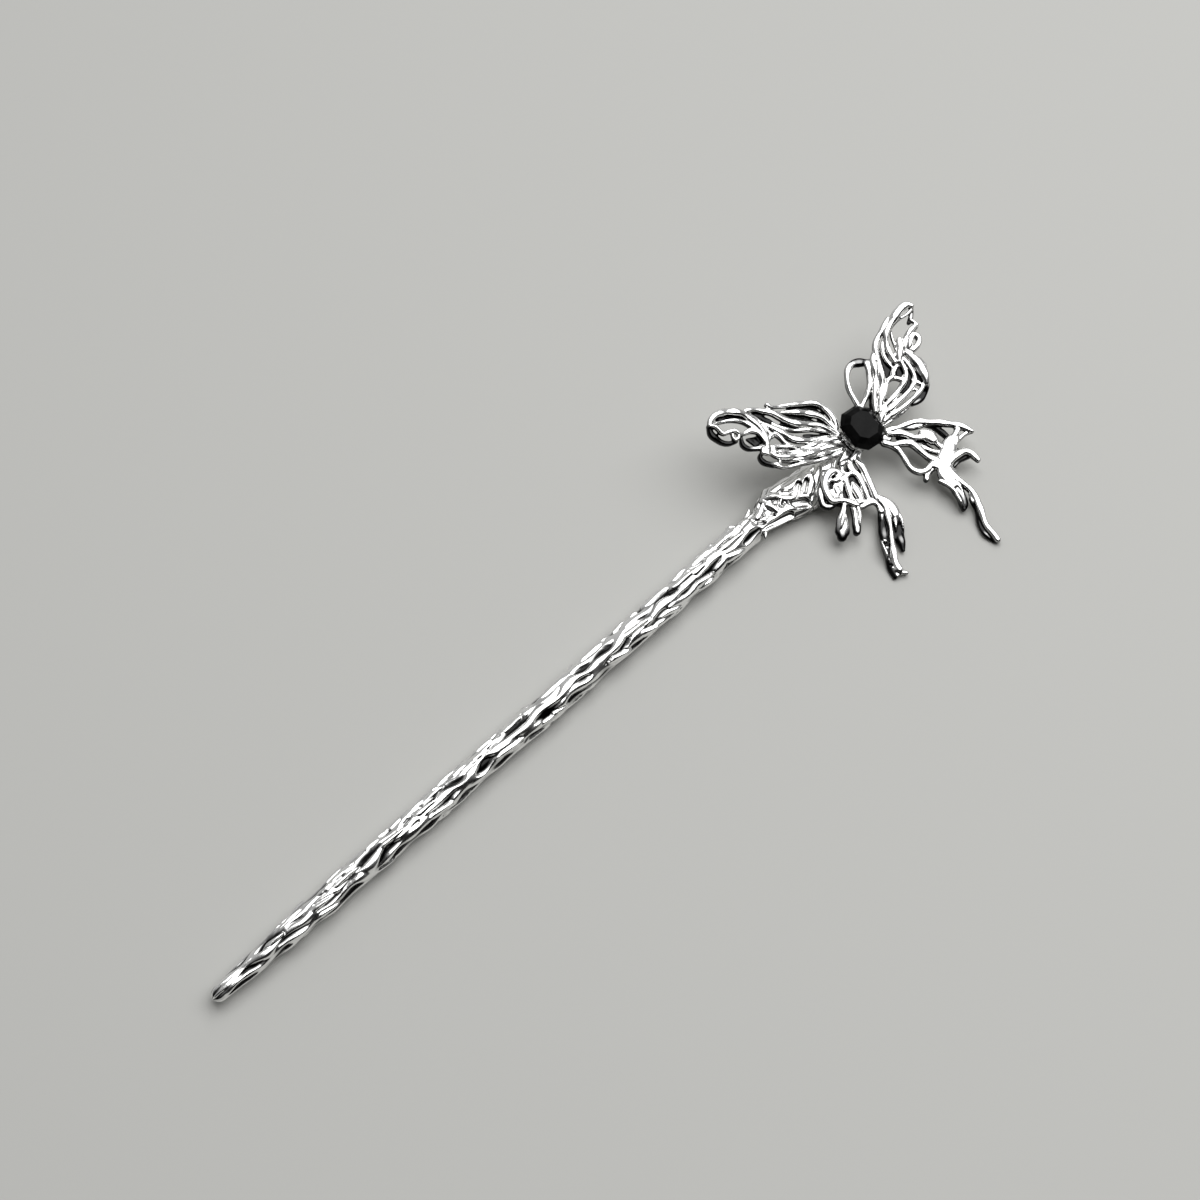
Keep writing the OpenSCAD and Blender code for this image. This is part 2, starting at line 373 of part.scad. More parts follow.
// Points on a wing, in the pin's frame and then as the pin lies.
function on_wing(wing, p) =
    let (along = p.x * cos(wing[1]) - p.z * sin(wing[1]))
    [along * cos(wing[0]) - p.y * sin(wing[0]),
     along * sin(wing[0]) + p.y * cos(wing[0]),
     wing_z + p.x * sin(wing[1]) + p.z * cos(wing[1])];
function rolled(p) =
    [p.x,
     p.y * cos(lie_roll) - p.z * sin(lie_roll),
     p.y * sin(lie_roll) + p.z * cos(lie_roll)];

// The roll at which the end of the longest tail comes down to the shaft's underside.
tail_index = 4;
tail_strand = right_hind_strands[tail_index];
tail_point = tail_strand[1][len(tail_strand[1]) - 1];
tail_uv = [tail_point.x, tail_point.y] * hindwing_scale;
tail_tip = on_wing(right_hind, [tail_uv.x, tail_uv.y, tail_strand[0] + strand_stagger * tail_index]);
tail_drop = shaft_d / 2 - half_depth(tail_point.z + strand_swell);
lie_roll = 180 + asin(tail_drop / norm([tail_tip.y, tail_tip.z])) - atan2(tail_tip.z, tail_tip.y);

// The middle of the footprint, from the reach of every strand.
function reach(wing, strands) = [
    for (strand = strands, p = strand[1])
        let (q = rolled(on_wing(wing, [p.x * wing[2], p.y * wing[2], strand[0]])))
        [q.x, q.y, p.z + strand_swell]];
all_reach = concat(reach(left_fore, left_fore_strands), reach(right_fore, right_fore_strands),
                   reach(left_hind, left_hind_strands), reach(right_hind, right_hind_strands));
far_x = max([for (p = all_reach) p.x + p.z]);
far_y = max([for (p = all_reach) p.y + p.z]);
near_y = min([for (p = all_reach) p.y - p.z]);
middle_x = (far_x - pin_length) / 2;
middle_y = (far_y + near_y) / 2;

// A skin over a row of closed rings, with a point in the middle of each end.
function middle(ring) = [for (axis = [0 : 2]) [for (p = ring) p[axis]] * [for (p = ring) 1 / len(ring)]];
module skin(rings) {
    count = len(rings[0]);
    last = len(rings) - 1;
    points = concat([for (ring = rings) each ring], [middle(rings[0]), middle(rings[last])]);
    near_end = len(points) - 2;
    far_end = len(points) - 1;
    sides = [for (i = [0 : last - 1], j = [0 : count - 1])
        let (a = i * count + j, b = i * count + (j + 1) % count)
        each [[a, b + count, b], [a, a + count, b + count]]];
    ends = [for (j = [0 : count - 1])
        let (k = (j + 1) % count)
        each [[near_end, j, k], [far_end, last * count + k, last * count + j]]];
    polyhedron(points, concat(sides, ends));
}

// A smooth path through a list of points, with more steps where it turns more.
function between(p, q, r, s, t) =
    (2 * q + (r - p) * t + (2 * p - 5 * q + 4 * r - s) * t * t + (3 * q - p - 3 * r + s) * t * t * t) / 2;
function towards(points, i) = unit(place(points[i + 1]) - place(points[i]));
function turn_at(points, i) =
    i == 0 || i == len(points) - 1
        ? 0
        : acos(min(1, towards(points, i - 1) * towards(points, i)));
function smooth(points) =
    let (last = len(points) - 1)
    [for (i = [0 : last - 1])
         let (steps = 1 + min(2, floor((turn_at(points, i) + turn_at(points, i + 1)) / step_turn)))
         for (k = [0 : steps - 1])
             between(points[max(i - 1, 0)], points[i], points[i + 1], points[min(i + 2, last)], k / steps),
     points[last]];
function place(p) = [p[0], p[1], p[2]];
function unit(p) = p / norm(p);
function heading(path, i) = unit(place(path[min(i + 1, len(path) - 1)]) - place(path[max(i - 1, 0)]));
function half_depth(half_width) = min(strand_depth_max, strand_depth + depth_share * half_width);
function ring(centre, along, half_width) =
    let (side = unit(cross([0, 0, 1], along)), up = cross(along, side))
    [for (j = [0 : strand_sides - 1])
        let (turn = 360 * j / strand_sides)
        centre + side * half_width * cos(turn) + up * half_depth(half_width) * sin(turn)];

// One strand of a wing, with rounded ends.
module strand(height, points, scale) {
    path = smooth([for (p = points) [p.x * scale, p.y * scale, height, p.z + strand_swell]]);
    last = len(path) - 1;
    start = heading(path, 0);
    finish = heading(path, last);
    skin(concat(
        [ring(place(path[0]) - start * path[0][3] * end_round, start, path[0][3] * end_round)],
        [for (i = [0 : last]) ring(place(path[i]), heading(path, i), path[i][3])],
        [ring(place(path[last]) + finish * path[last][3] * end_round, finish, path[last][3] * end_round)]));
}

module web(beads, scale) {
    hull()
        for (b = beads)
            translate([b[0] * scale, b[1] * scale, b[2]])
                sphere(b[3] + strand_swell, $fn = bead_sides);
}

module sheet(outline, holes, scale) {
    translate([0, 0, sheet_low])
        linear_extrude(sheet_thickness)
            difference() {
                polygon(outline * scale);
                for (h = holes)
                    translate([h.x * scale, h.y * scale])
                        circle(h.z, $fn = bead_sides);
            }
}

// The tab that seats a wing on the base plate, carried out to the first strands.
module wing_tab(wing, first_v, last_v) {
    hull() {
        for (turn = [wing[3], wing[4]])
            rotate([0, 0, turn])
                translate([tab_reach, 0, plate_top])
                    cylinder(d = tab_corner_d, h = tab_thickness, $fn = bead_sides);
        on_plane(wing)
            for (v = [first_v, last_v])
                translate([tab_edge, v, 0.1])
                    sphere(tab_thickness / 2, $fn = bead_sides);
    }
}

module on_plane(wing) {
    translate([0, 0, wing_z])
        rotate([0, -wing[1], wing[0]])
            children();
}

module wing(wing, strands, webs, sheets, first_v, last_v) {
    color("silver")
        as_laid()
            union() {
                wing_tab(wing, first_v, last_v);
                on_plane(wing) {
                    for (i = [0 : len(strands) - 1])
                        strand(strands[i][0] + strand_stagger * i, strands[i][1], wing[2]);
                    for (w = webs)
                        web(w, wing[2]);
                    for (s = sheets)
                        sheet(s[0], s[1], wing[2]);
                }
            }
}

// From the pin's frame to the way the pin lies.
module as_laid() {
    translate([-middle_x, -middle_y, shaft_d / 2])
        rotate([lie_roll, 0, 0])
            children();
}

// Bark: strands that meet and part along the shaft, with lens-shaped pits between them.
// Each strand runs a little ahead of an even sway or behind it, over a longer length.
bark_wander = 50;
bark_wander_length = 33;
bark_wander_step = 80;
bark_fullness = 1.1;
function strand_turn(k, x) =
    let (wander = bark_wander * sin(360 * x / bark_wander_length + bark_wander_step * k))
    360 / bark_strands * k + bark_sway * sin(360 * x / bark_pitch + 180 * k + wander);
function turn_gap(a, b) = abs((a - b + 1260) % 360 - 180);
function bark(turn, x) =
    let (strand_half = bark_fullness * 180 / bark_strands,
         nearest = min([for (k = [0 : bark_strands - 1]) turn_gap(turn, strand_turn(k, x))]))
    bark_depth * min(1, pow(nearest / strand_half, 2));
function shaft_r(d) =
    d < point_length
        ? blunt_d / 2 + (point_start_d - blunt_d) / 2 * sin(90 * d / point_length)
        : lookup(d, [[point_length, point_start_d / 2], [shaft_length, shaft_d / 2]]);
function shaft_ring(d, r) = [
    for (j = [0 : shaft_sides - 1])
        let (turn = 360 * j / shaft_sides, deep = bark(turn, d) * min(1, r / (point_start_d / 2)))
        [d - pin_length, (r - deep) * cos(turn), (r - deep) * sin(turn)]];

shaft_length = pin_length - neck_reach;
end_turns = [20, 50, 75];
shaft_rings = round((shaft_length - blunt_d / 2) / ring_gap);

module pin_shaft() {
    color("gainsboro")
        as_laid() {
            skin(concat(
                [for (t = end_turns)
                    let (d = blunt_d / 2 * (1 - cos(t)))
                    shaft_ring(d, shaft_r(d) * sin(t))],
                [for (i = [0 : shaft_rings])
                    let (d = blunt_d / 2 + (shaft_length - blunt_d / 2) * i / shaft_rings)
                    shaft_ring(d, shaft_r(d))]));
            translate([-neck_reach - tenon_root, 0, 0])
                rotate([0, 90, 0])
                    cylinder(d = tenon_d, h = tenon_root + tenon_length);
        }
}

// The neck: a flared, nuggety casting that flattens into the paddle.
neck_end = paddle_d / 2 + 0.4;
neck_length = neck_reach - neck_end;
tongue_width = paddle_d - 1;
tongue_lap = 1;

// Reach of the neck towards the head and the tail, in shares of its width.
head_shares = [[0.15, 0.354], [0.235, 0.41], [0.29, 0.488], [0.376, 0.44], [0.5, 0.378], [0.6, 0.34],
               [0.83, 0.32]];
tail_shares = [[0.165, 0.36], [0.255, 0.427], [0.333, 0.512], [0.415, 0.59], [0.49, 0.62], [0.6, 0.6],
               [0.7, 0.5], [0.83, 0.39]];
waist_share = 0.07;
function side_reach(s, shares) = lookup(s, concat(
    [[0, waist_d / 2], [waist_share, waist_d / 2]],
    [for (p = shares) [p.x, p.y * neck_width]],
    [[1, tongue_width / 2]]));
function neck_half_height(s) = lookup(s, [
    [0, waist_d / 2], [0.3, 0.5 * neck_thickness], [0.45, 0.47 * neck_thickness],
    [0.6, 0.42 * neck_thickness], [0.8, 0.75 * paddle_thickness], [1, 0.47 * paddle_thickness]]);
function neck_rise(s) = lookup(s, [[0, 0], [0.6, 0], [1, (paddle_top + paddle_floor) / 2]]);

// Nuggets as swirls and lumps, each with a number round the neck and a length along it.
swirls = 4;
swirl_length = 5.1;
swirl_lean = 70;
swirl_sway_length = 9;
lumps = 7;
lump_length = 3.3;
function nuggets(turn, x) =
    let (swirl = sin(swirls * turn + swirl_lean * sin(360 * x / swirl_sway_length))
                 * cos(360 * x / swirl_length + swirl_lean * sin(2 * turn)),
         lump = sin(lumps * turn - 360 * x / lump_length) * sin(360 * x / lump_length + 3 * turn))
    nugget_depth * pow((2 - swirl - lump) / 4, 2);
function neck_ring(s) = [
    for (j = [0 : neck_sides - 1])
        let (turn = 360 * j / neck_sides,
             x = s * neck_length - neck_reach,
             deep = nuggets(turn, x) * (1 - s * s * s),
             side = side_reach(s, cos(turn) > 0 ? head_shares : tail_shares))
        [x, (side - deep) * cos(turn), neck_rise(s) + (neck_half_height(s) - deep) * sin(turn)]];

shank_hole_d = rivet_d + 2 * rivet_clearance;
sink_d = rivet_head_d + 2 * rivet_clearance;
module rivet_hole(low, high) {
    translate([0, 0, low - 1])
        cylinder(d = shank_hole_d, h = high - low + 2);
}

module neck() {
    color("silver")
        as_laid()
            difference() {
                union() {
                    skin([for (i = [0 : neck_rings]) neck_ring(i / neck_rings)]);
                    translate([0, 0, paddle_floor])
                        cylinder(d = paddle_d, h = paddle_thickness);
                    translate([-neck_end - tongue_lap, -tongue_width / 2, paddle_floor])
                        cube([neck_end + tongue_lap, tongue_width, paddle_thickness]);
                }
                translate([-neck_reach - 1, 0, 0])
                    rotate([0, 90, 0])
                        cylinder(d = tenon_d + 2 * tenon_clearance, h = 1 + tenon_length + tenon_end_room);
                rivet_hole(paddle_floor, paddle_top);
                translate([0, 0, paddle_floor])
                    cylinder(d1 = sink_d, d2 = shank_hole_d, h = countersink);
            }
}

module base_plate() {
    color("silver")
        as_laid()
            difference() {
                translate([0, 0, paddle_top])
                    cylinder(d = plate_d, h = plate_thickness);
                rivet_hole(paddle_top, plate_top);
            }
}

// An outline of the stone at a share of its size, grown by a margin.
function stone_ring(share, z, margin = 0) =
    let (w = stone_width / 2 * share + margin,
         l = stone_length / 2 * share + margin,
         cut = corner_cut * share)
    [for (p = [[w, l - cut], [w - cut, l], [cut - w, l], [-w, l - cut],
               [-w, cut - l], [cut - w, -l], [w - cut, -l], [w, cut - l]])
        [p.x * cos(stone_turn) - p.y * sin(stone_turn), p.x * sin(stone_turn) + p.y * cos(stone_turn), z]];
function pavilion_share(z) = culet_share + (1 - culet_share) * (z - culet_z) / pavilion_depth;

// The cup's bowl follows the stone's underside, on a foot between the wing tabs.
module stone_cup() {
    rim_share = pavilion_share(rim_z);
    over_share = pavilion_share(girdle_z);
    color("silver")
        as_laid()
            difference() {
                union() {
                    translate([0, 0, plate_top])
                        cylinder(d = foot_d, h = floor_z - plate_top);
                    skin([stone_ring(culet_share, bowl_z, cup_wall),
                          stone_ring(culet_share, floor_z, stone_clearance + cup_wall),
                          stone_ring(rim_share, rim_z, stone_clearance + cup_wall / 2)]);
                }
                skin([stone_ring(culet_share, floor_z, stone_clearance),
                      stone_ring(culet_share, culet_z, stone_clearance),
                      stone_ring(over_share, girdle_z, stone_clearance)]);
                rivet_hole(plate_top, floor_z);
                translate([0, 0, floor_z - countersink])
                    cylinder(d1 = shank_hole_d, d2 = sink_d, h = countersink);
            }
}

// The stone: a cut-cornered rectangle with a stepped crown, a girdle and a flat underside.
step_share = 0.87;
step_rise = 0.55;
module stone() {
    color([0.05, 0.05, 0.06])
        as_laid()
            skin([stone_ring(culet_share, culet_z),
                  stone_ring(1, girdle_z),
                  stone_ring(1, crown_z),
                  stone_ring(step_share, crown_z + crown_height * step_rise),
                  stone_ring(table_share, table_z)]);
}

module stone_adhesive() {
    color("ivory")
        as_laid()
            skin([stone_ring(culet_share, floor_z), stone_ring(culet_share, culet_z)]);
}

module hub_rivet() {
    color("gray")
        as_laid()
            rotate_extrude()
                polygon([[0, paddle_floor], [rivet_head_d / 2, paddle_floor],
                         [rivet_d / 2, paddle_floor + countersink], [rivet_d / 2, floor_z - countersink],
                         [rivet_head_d / 2, floor_z], [0, floor_z]]);
}

module left_forewing() {
    wing(left_fore, left_fore_strands, left_fore_webs, left_fore_sheets, -0.3, 2.2);
}

module right_forewing() {
    wing(right_fore, right_fore_strands, right_fore_webs, right_fore_sheets, -1.6, 0.8);
}

module left_hindwing() {
    wing(left_hind, left_hind_strands, left_hind_webs, left_hind_sheets, -1.6, -5);
}

module right_hindwing() {
    wing(right_hind, right_hind_strands, right_hind_webs, right_hind_sheets, 2.4, 3.6);
}

pin_shaft();
neck();
base_plate();
left_forewing();
right_forewing();
left_hindwing();
right_hindwing();
stone_cup();
stone();
stone_adhesive();
hub_rivet();
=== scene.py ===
# A hair stick with bark on its shaft and an openwork butterfly round a black stone.
# Wings, shaft and neck get finer meshes in place of their CAD nodes; the rest shows as drawn.
import math

import bmesh
import bpy
import numpy as np
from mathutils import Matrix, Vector
from mathutils.geometry import tessellate_polygon


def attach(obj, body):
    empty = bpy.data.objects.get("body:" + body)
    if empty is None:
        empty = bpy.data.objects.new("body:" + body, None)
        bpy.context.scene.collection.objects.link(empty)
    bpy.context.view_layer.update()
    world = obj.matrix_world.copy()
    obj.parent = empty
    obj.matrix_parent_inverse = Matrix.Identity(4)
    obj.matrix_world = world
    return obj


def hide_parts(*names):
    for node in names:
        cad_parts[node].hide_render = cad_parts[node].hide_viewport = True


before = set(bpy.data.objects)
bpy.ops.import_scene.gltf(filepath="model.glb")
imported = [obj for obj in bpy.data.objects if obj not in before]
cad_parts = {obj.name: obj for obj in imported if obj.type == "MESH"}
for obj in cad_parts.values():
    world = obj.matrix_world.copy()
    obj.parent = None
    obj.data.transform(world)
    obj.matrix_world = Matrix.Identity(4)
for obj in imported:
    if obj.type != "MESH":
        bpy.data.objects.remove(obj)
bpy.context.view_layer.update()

MM = 0.001

# The pin's own frame, in mm, has the shaft along x and the stone over the origin. The pin lies
# rolled about its own axis, and the middle of its footprint is the origin of the scene.
MIDDLE = (-62.7401, -7.72958)
LIE_ROLL = math.radians(13.0053)
SHAFT_D = 5.2
WING_Z = 3.0
PLATE_TOP = 2.5

# The photo's camera, in metres in the scene's frame, and half the photo's width in pixels
CAMERA_PLACE, CAMERA_AIM = (-0.10600, -0.09943, 0.30613), (0.007439, 0.017303, 0)
CAMERA_DEGREES = 34
PHOTO_HALF = 600

# What the wings are made of, as picked in the photo. Places, half-widths, their gains and
# radii are in its pixels, and heights over the wing's plane and drops under them in mm.
# Strands are (height, gain, [(x, y, half-width, drop if any), ...]), webs are
# (height, radius, [(x, y), ...]) and thin sheets are [(x, y), ...].
# Strands, webs and sheets set under the wing's plane fill openings and undersides that look dark, and
# take painted shade as low places.
LEFT_FORE_STRANDS = [
    (0.35, 0.55, [(852,448,1.8),(846,441,2),(839,431,2.2),(834,421,2.6),(828,411.5,2.8),(820,405.5,2.6),
      (811,403.3,2.3),(800,404,2.3),(790,405,1.8),(780,406.3,1.3),(771,407.3,1.1),(767,405.5,1.7)]),
    (0.3, 0.55, [(839,434,1.5),(832,426,1.7),(824,419.5,2.3),(815,415,2.7),(805,413,2.9),(795,412.5,2.3),
      (785,412.3,1.6),(776,413,0.9)]),
    (0.3, 0.55, [(838,435,1.5),(828,429.5,1.9),(818,425.5,2.1),(808,424.5,2.5),(798,424,2.7),
      (788,421,2.7),(779,417,2.5),(771,413,2.5),(762,410.8,2.3),(752,410,1.9),(744,411.5,1.3)]),
    (0.35, 0.55, [(709.5,425,1.1),(711.5,419,2.3),(717,414.5,2.9),(724,412,3.1),(732,411.8,3.1),
      (740,413.2,2.9),(747,416.5,2.5),(753,421,2.3),(759,427,2.1),(764,433.5,1.9),(767,441,1.7),
      (767,448,1.9)]),
    (0.15, 0.55, [(746,414,0.9),(755,418.5,1.3),(762,425,1.4),(768,432,1.3),(772,437,1.2)]),
    (0.1, 0.55, [(713,424.5,0.9),(720,422.3,1.1),(728,421,1.3),(737,420.8,1.5),(745,422.5,1.7),
      (751,426,1.7),(757,431,1.7),(762,437,1.5),(765,442,1.4)]),
    (0.25, 0.55, [(720,432,1.1),(724,433.5,1.5),(729,432,1.7),(735,431.2,1.7),(740,434,1.5),
      (744,433.5,1.7),(750,431,1.9),(757,432.5,1.9),(762,437,1.7),(766,442,1.6)]),
    (0.1, 0.55, [(710,426,1.8,0.4),(713,432,2.5,0.9),(718,436.5,2.7,1.0),(724,440,2.3,1.0),
      (731,441.5,1.7,0.9),(737,440.5,1.3,0.5)]),
    (0.3, 0, [(710,426,1),(715,427,1.8),(719.5,430.5,2),(723,433.5,1.6)]),
    (0.2, 0.55, [(733,432,1.1),(732.5,436,1.1),(735.5,439.5,1.1),(738.5,437.5,1.1),(738.5,433.5,1)]),
    (0.1, 0.55, [(742,437,1.2,0.3),(744.5,443.5,1.6,0.7),(750,447.5,1.8,0.7),(757,448,1.8,0.3),
      (764,447,1.7)]),
    (0.2, 0.55, [(768,441,1.3),(771,434.8,1.3),(776,435,1.4),(781,438,1.5),(785,442.5,1.5),
      (790,446,1.3)]),
    (0.1, 0.55, [(769,447,1.4),(778,446.5,1.5),(786,447,1.3)]),
    (0.2, 0.55, [(760,422.5,1.1),(768,426,1.9),(777,430.5,2.6),(787,436,3.2),(797,440,3),(807,441,2.4),
      (816,439.5,1.9),(825,438,1.5),(836,437.5,1.3)]),
    (0.1, 0.55, [(772,423.5,0.9),(782,428.5,1.3),(792,430.5,1.5),(803,430.3,1.3),(813,430,1.2),
      (822,431,1.2),(835,435,1.2)]),
    (0.25, 0.55, [(786,447,1.1),(793,446.8,1.1),(803,447.3,1.3),(812,445.7,1.7),(820,442.5,1.8),
      (828,439.8,1.8),(838,438.5,1.5)]),
    (0.2, 0.55, [(779,452,1.3),(787,451.8,1.5),(796,452.2,1.8),(805,451.3,2.1),(813,448.6,2.1),
      (821,445.7,2),(829,443.2,1.8),(840,442,1.6)]),
    (0.25, 0.55, [(771,453,1.5),(777,456.3,1.7),(785,457.3,1.9),(794,456.3,2.1),(803,455.3,2.2),
      (812,453,2.2),(820,450,2),(828,447.5,1.9),(842,446,1.6)]),
    (0.15, 0.55, [(763,452,1.7,0.2),(761.5,456,1.5,0.7),(766,460.5,2.1,0.9),(772,463,1.9,0.6),
      (776,464.5,1.7),(780,464,1.5)]),
    (0.1, 0.55, [(777,465.5,1.5),(784,468,1.3),(793,466,1.3),(802,463.8,1.5),(811,462,1.5),
      (820,460.3,1.4),(829,457.5,1.4),(842,452,1.3)]),
    (0.05, 0.55, [(780,461,1.3,0.2),(790,460.3,1.5),(800,459.5,1.3),(810,457.5,1.3),(820,455,1.3),
      (830,452,1.3),(844,448,1.3)])]

LEFT_FORE_WEBS = [
    (0.3, 2.4, [(763,449),(768,448.5),(768,454),(763,452.5)]),
    (0.2, 1.7, [(768,450),(774,448),(775,453),(770,454)]),
    (-0.5, 1.5, [(787,409),(812,408.5),(822,415),(806,411)]),
    (-0.5, 1.4, [(752,414),(759,415.5),(770,421),(776,426),(765,421.5)]),
    (-0.5, 1.5, [(804,436),(834,436),(822,440),(806,444)]),
    (-0.7, 1.5, [(747,440),(755,438),(762,442),(755,446)]),
    (-0.5, 1.5, [(784,462),(800,461),(815,458),(830,454),(800,464)]),
    (-0.45, 1.4, [(786,417.5),(805,419.5),(826,425),(808,421)]),
    (-0.45, 1.5, [(790,450),(812,447),(834,442),(812,452)]),
    (-0.6, 1.4, [(716,420),(730,417.5),(745,419),(752,424)]),
    (-0.45, 1.4, [(780,425),(800,428),(830,431),(800,428.5)])]

RIGHT_FORE_STRANDS = [
    (0.2, 0.95, [(859,408,1.4),(853,397,1.6),(849.5,390,1.7),(847.3,382,1.8),(846.9,375,2),
      (848.3,369.3,2.3,0.1),(851.2,365,2.8,0.4),(855.5,362.2,3.2,0.85),(861,361.3,3.3,0.95),
      (866.5,361.6,2.9,0.8),(871,361.5,2.2,0.3),(874,360,1.8)]),
    (0.2, 0.95, [(867,363,2.2,0.4),(868.3,370,1.8),(869.3,378,1.6),(869,386,1.6),(867.3,394,1.7),
      (864.3,401,1.7),(861,408,1.6)]),
    (0.2, 0.95, [(875.5,411,1.6),(874,397,2.0),(875,390,2.2),(875.5,382,2.2),(875.5,374,2.3),
      (874,366,2.3),(872.8,359.5,2.0),(874.5,353,1.6)]),
    (0.1, 0.95, [(880,412,1.5),(880.5,398,2.2),(882,389,2.4),(881.8,380,2.4),(881,372,2.2),
      (879.5,365,2.0),(877,358,1.9),(875,351,1.8),(875.5,344,1.8),(878,337.5,1.8),(881.5,331,1.8),
      (884.5,325,1.7),(888,319,1.6)]),
    (0.35, 0.95, [(894.5,362,1.4),(890,354,1.6),(887,346,1.7),(885.8,339,1.8),(886.5,332,2.2),
      (889.5,325.5,2.6),(893.5,319,3.2),(897.5,312.5,3.6),(902,307.5,3.2),(907,304.8,2.4),
      (911.5,305.5,1.6)]),
    (0.0, 0, [(889,333,1),(892,327,1.2),(899,319.5,1.3),(906,315,1.4),(912,309,1.6)]),
    (0.2, 0.95, [(911,306,1.4,0.2),(912,312,1.2,0.5),(911,318,1.6,0.6),(909.5,322,1.2,0.6)]),
    (0.25, 0.95, [(917,324.5,1.0),(914,326.5,1.4),(910,331,1.7),(906.5,336.5,1.9),(904.8,343,1.9),
      (906,349,1.5,0.2),(907.5,354,1.4,0.1)]),
    (0.1, 0, [(910.5,320,1.6),(914,322.5,1.6),(917.5,325,1.2)]),
    (0.1, 0, [(911,330.5,1.6),(915,329.5,1.6),(917.8,326,1.1)]),
    (0.25, 0.95, [(908,354,1.8,0.2),(909,347,2),(910.3,340.5,2),(913,335,1.9),(917.3,335.4,1.9),
      (919.3,340.5,1.9),(917.3,345.5,2.1),(913,350,1.9),(908.5,354,1.8,0.2)]),
    (0.2, 0.95, [(899.5,340,2.0),(900,347,3.2),(899.5,354,3.4),(898.5,361,2.6)]),
    (0.1, 0.95, [(893,357,1.4),(898,353,1.8),(906,349,1.4)]),
    (0.0, 0, [(890.5,331,1.2),(892,338,1.5),(894.5,345,1.6),(897,352,1.2)]),
    (0.2, 0.95, [(898.5,356,1.8),(904,360,1.8),(908,365,1.6),(912,371,1.5),(914.5,377,1.6),(914,383,1.7),
      (910.5,389,1.8),(905.5,395,1.9),(899,401,2),(893,406.5,2),(887,411.5,1.8)]),
    (0.3, 0.95, [(907,353,2),(912.5,358,3.4),(918,363,4.8),(922,370,4.3),(925,377,3),(926.5,383,2)]),
    (0.1, 0.95, [(927,382,1.8,0.2),(926,390,2.6,0.7),(922.5,396,3,0.8),(918,400.5,2.2,0.7),
      (913,403.5,1.4,0.6)]),
    (0.25, 0.95, [(925.5,381,1.6),(921,389.5,1.4),(914.5,397,1.5),(907,404,1.7),(899,410,1.7),
      (891,415.5,1.8),(884,421,1.6)]),
    (0.1, 0, [(912,380,1.4),(917,382.5,2.4),(923,386,1.6)]),
    (0.0, 0, [(910,390.5,1.6),(915,389.8,1.5),(921,390.5,1.4)]),
    (0.2, 0.95, [(899,359,2),(903,366,1.5),(905.5,372,1.5),(905.5,378,1.7),(903,384,2),(899,390,1.9),
      (894.5,396,1.9),(889.5,401,1.9),(884,407,1.6)]),
    (0.15, 0.95, [(897.5,360,1.8),(896,366.5,1.4),(893,372,2.2),(892,377,2.0),(888,380.5,1.7),
      (886,386,1.6),(884.5,392,1.6),(882.5,398,1.7),(880.5,406,1.6)]),
    (0.15, 0.95, [(890,378.5,1.5),(896,378.5,1.6),(902,380,1.8)]),
    (0.1, 0, [(882.8,338,0.8),(882,346,1.8),(883.3,354,2.2),(887,362,2.2),(893,369,1.8)]),
    (0.1, 0, [(886,347,0.8),(888.3,355,1.7),(892.5,362,1.9),(898,366.5,1.4)]),
    (0.25, 0.95, [(885,406,1.6),(883.5,412,2.2),(881,418,2),(880.5,422,1.8)]),
    (-0.1, 0, [(883,426,2),(891,420.5,1.9),(898,415.5,1.8),(906,410,1.2),(910,407,0.6)])]

RIGHT_FORE_WEBS = [
    (0.25, 2.6, [(913,358),(919,358.5),(924,365),(925.5,372),(919,368)]),
    (0.15, 2.2, [(897,344),(902,345),(902,355),(897,357)]),
    (0.1, 1.6, [(901,378),(906,373),(905,380),(902,386)]),
    (0.0, 1.6, [(874,364),(880,366),(881,376),(876,380)]),
    (-0.1, 1.6, [(876,380),(881,380),(880,396),(876,398)]),
    (-0.6, 1.5, [(885,336),(888,346),(892,356),(886,350)]),
    (-0.7, 1.4, [(897,368),(903,369),(902,377),(897,376)]),
    (-0.6, 1.4, [(916,372),(922,377),(923,383),(917,379)]),
    (-0.6, 1.6, [(884,400),(890,400),(888,408),(878,408)]),
    (-0.6, 1.6, [(870,398),(880,400),(879,410),(871,410)])]

RIGHT_FORE_SHEETS = [
    [(873,360),(882,345),(890,352),(897,362),(893,372),(889,380),(884,395),(880,404),(870,404),(870,380)],
    [(901,362),(909,368),(913,378),(909,388),(900,394),(904,384),(907,376)]]

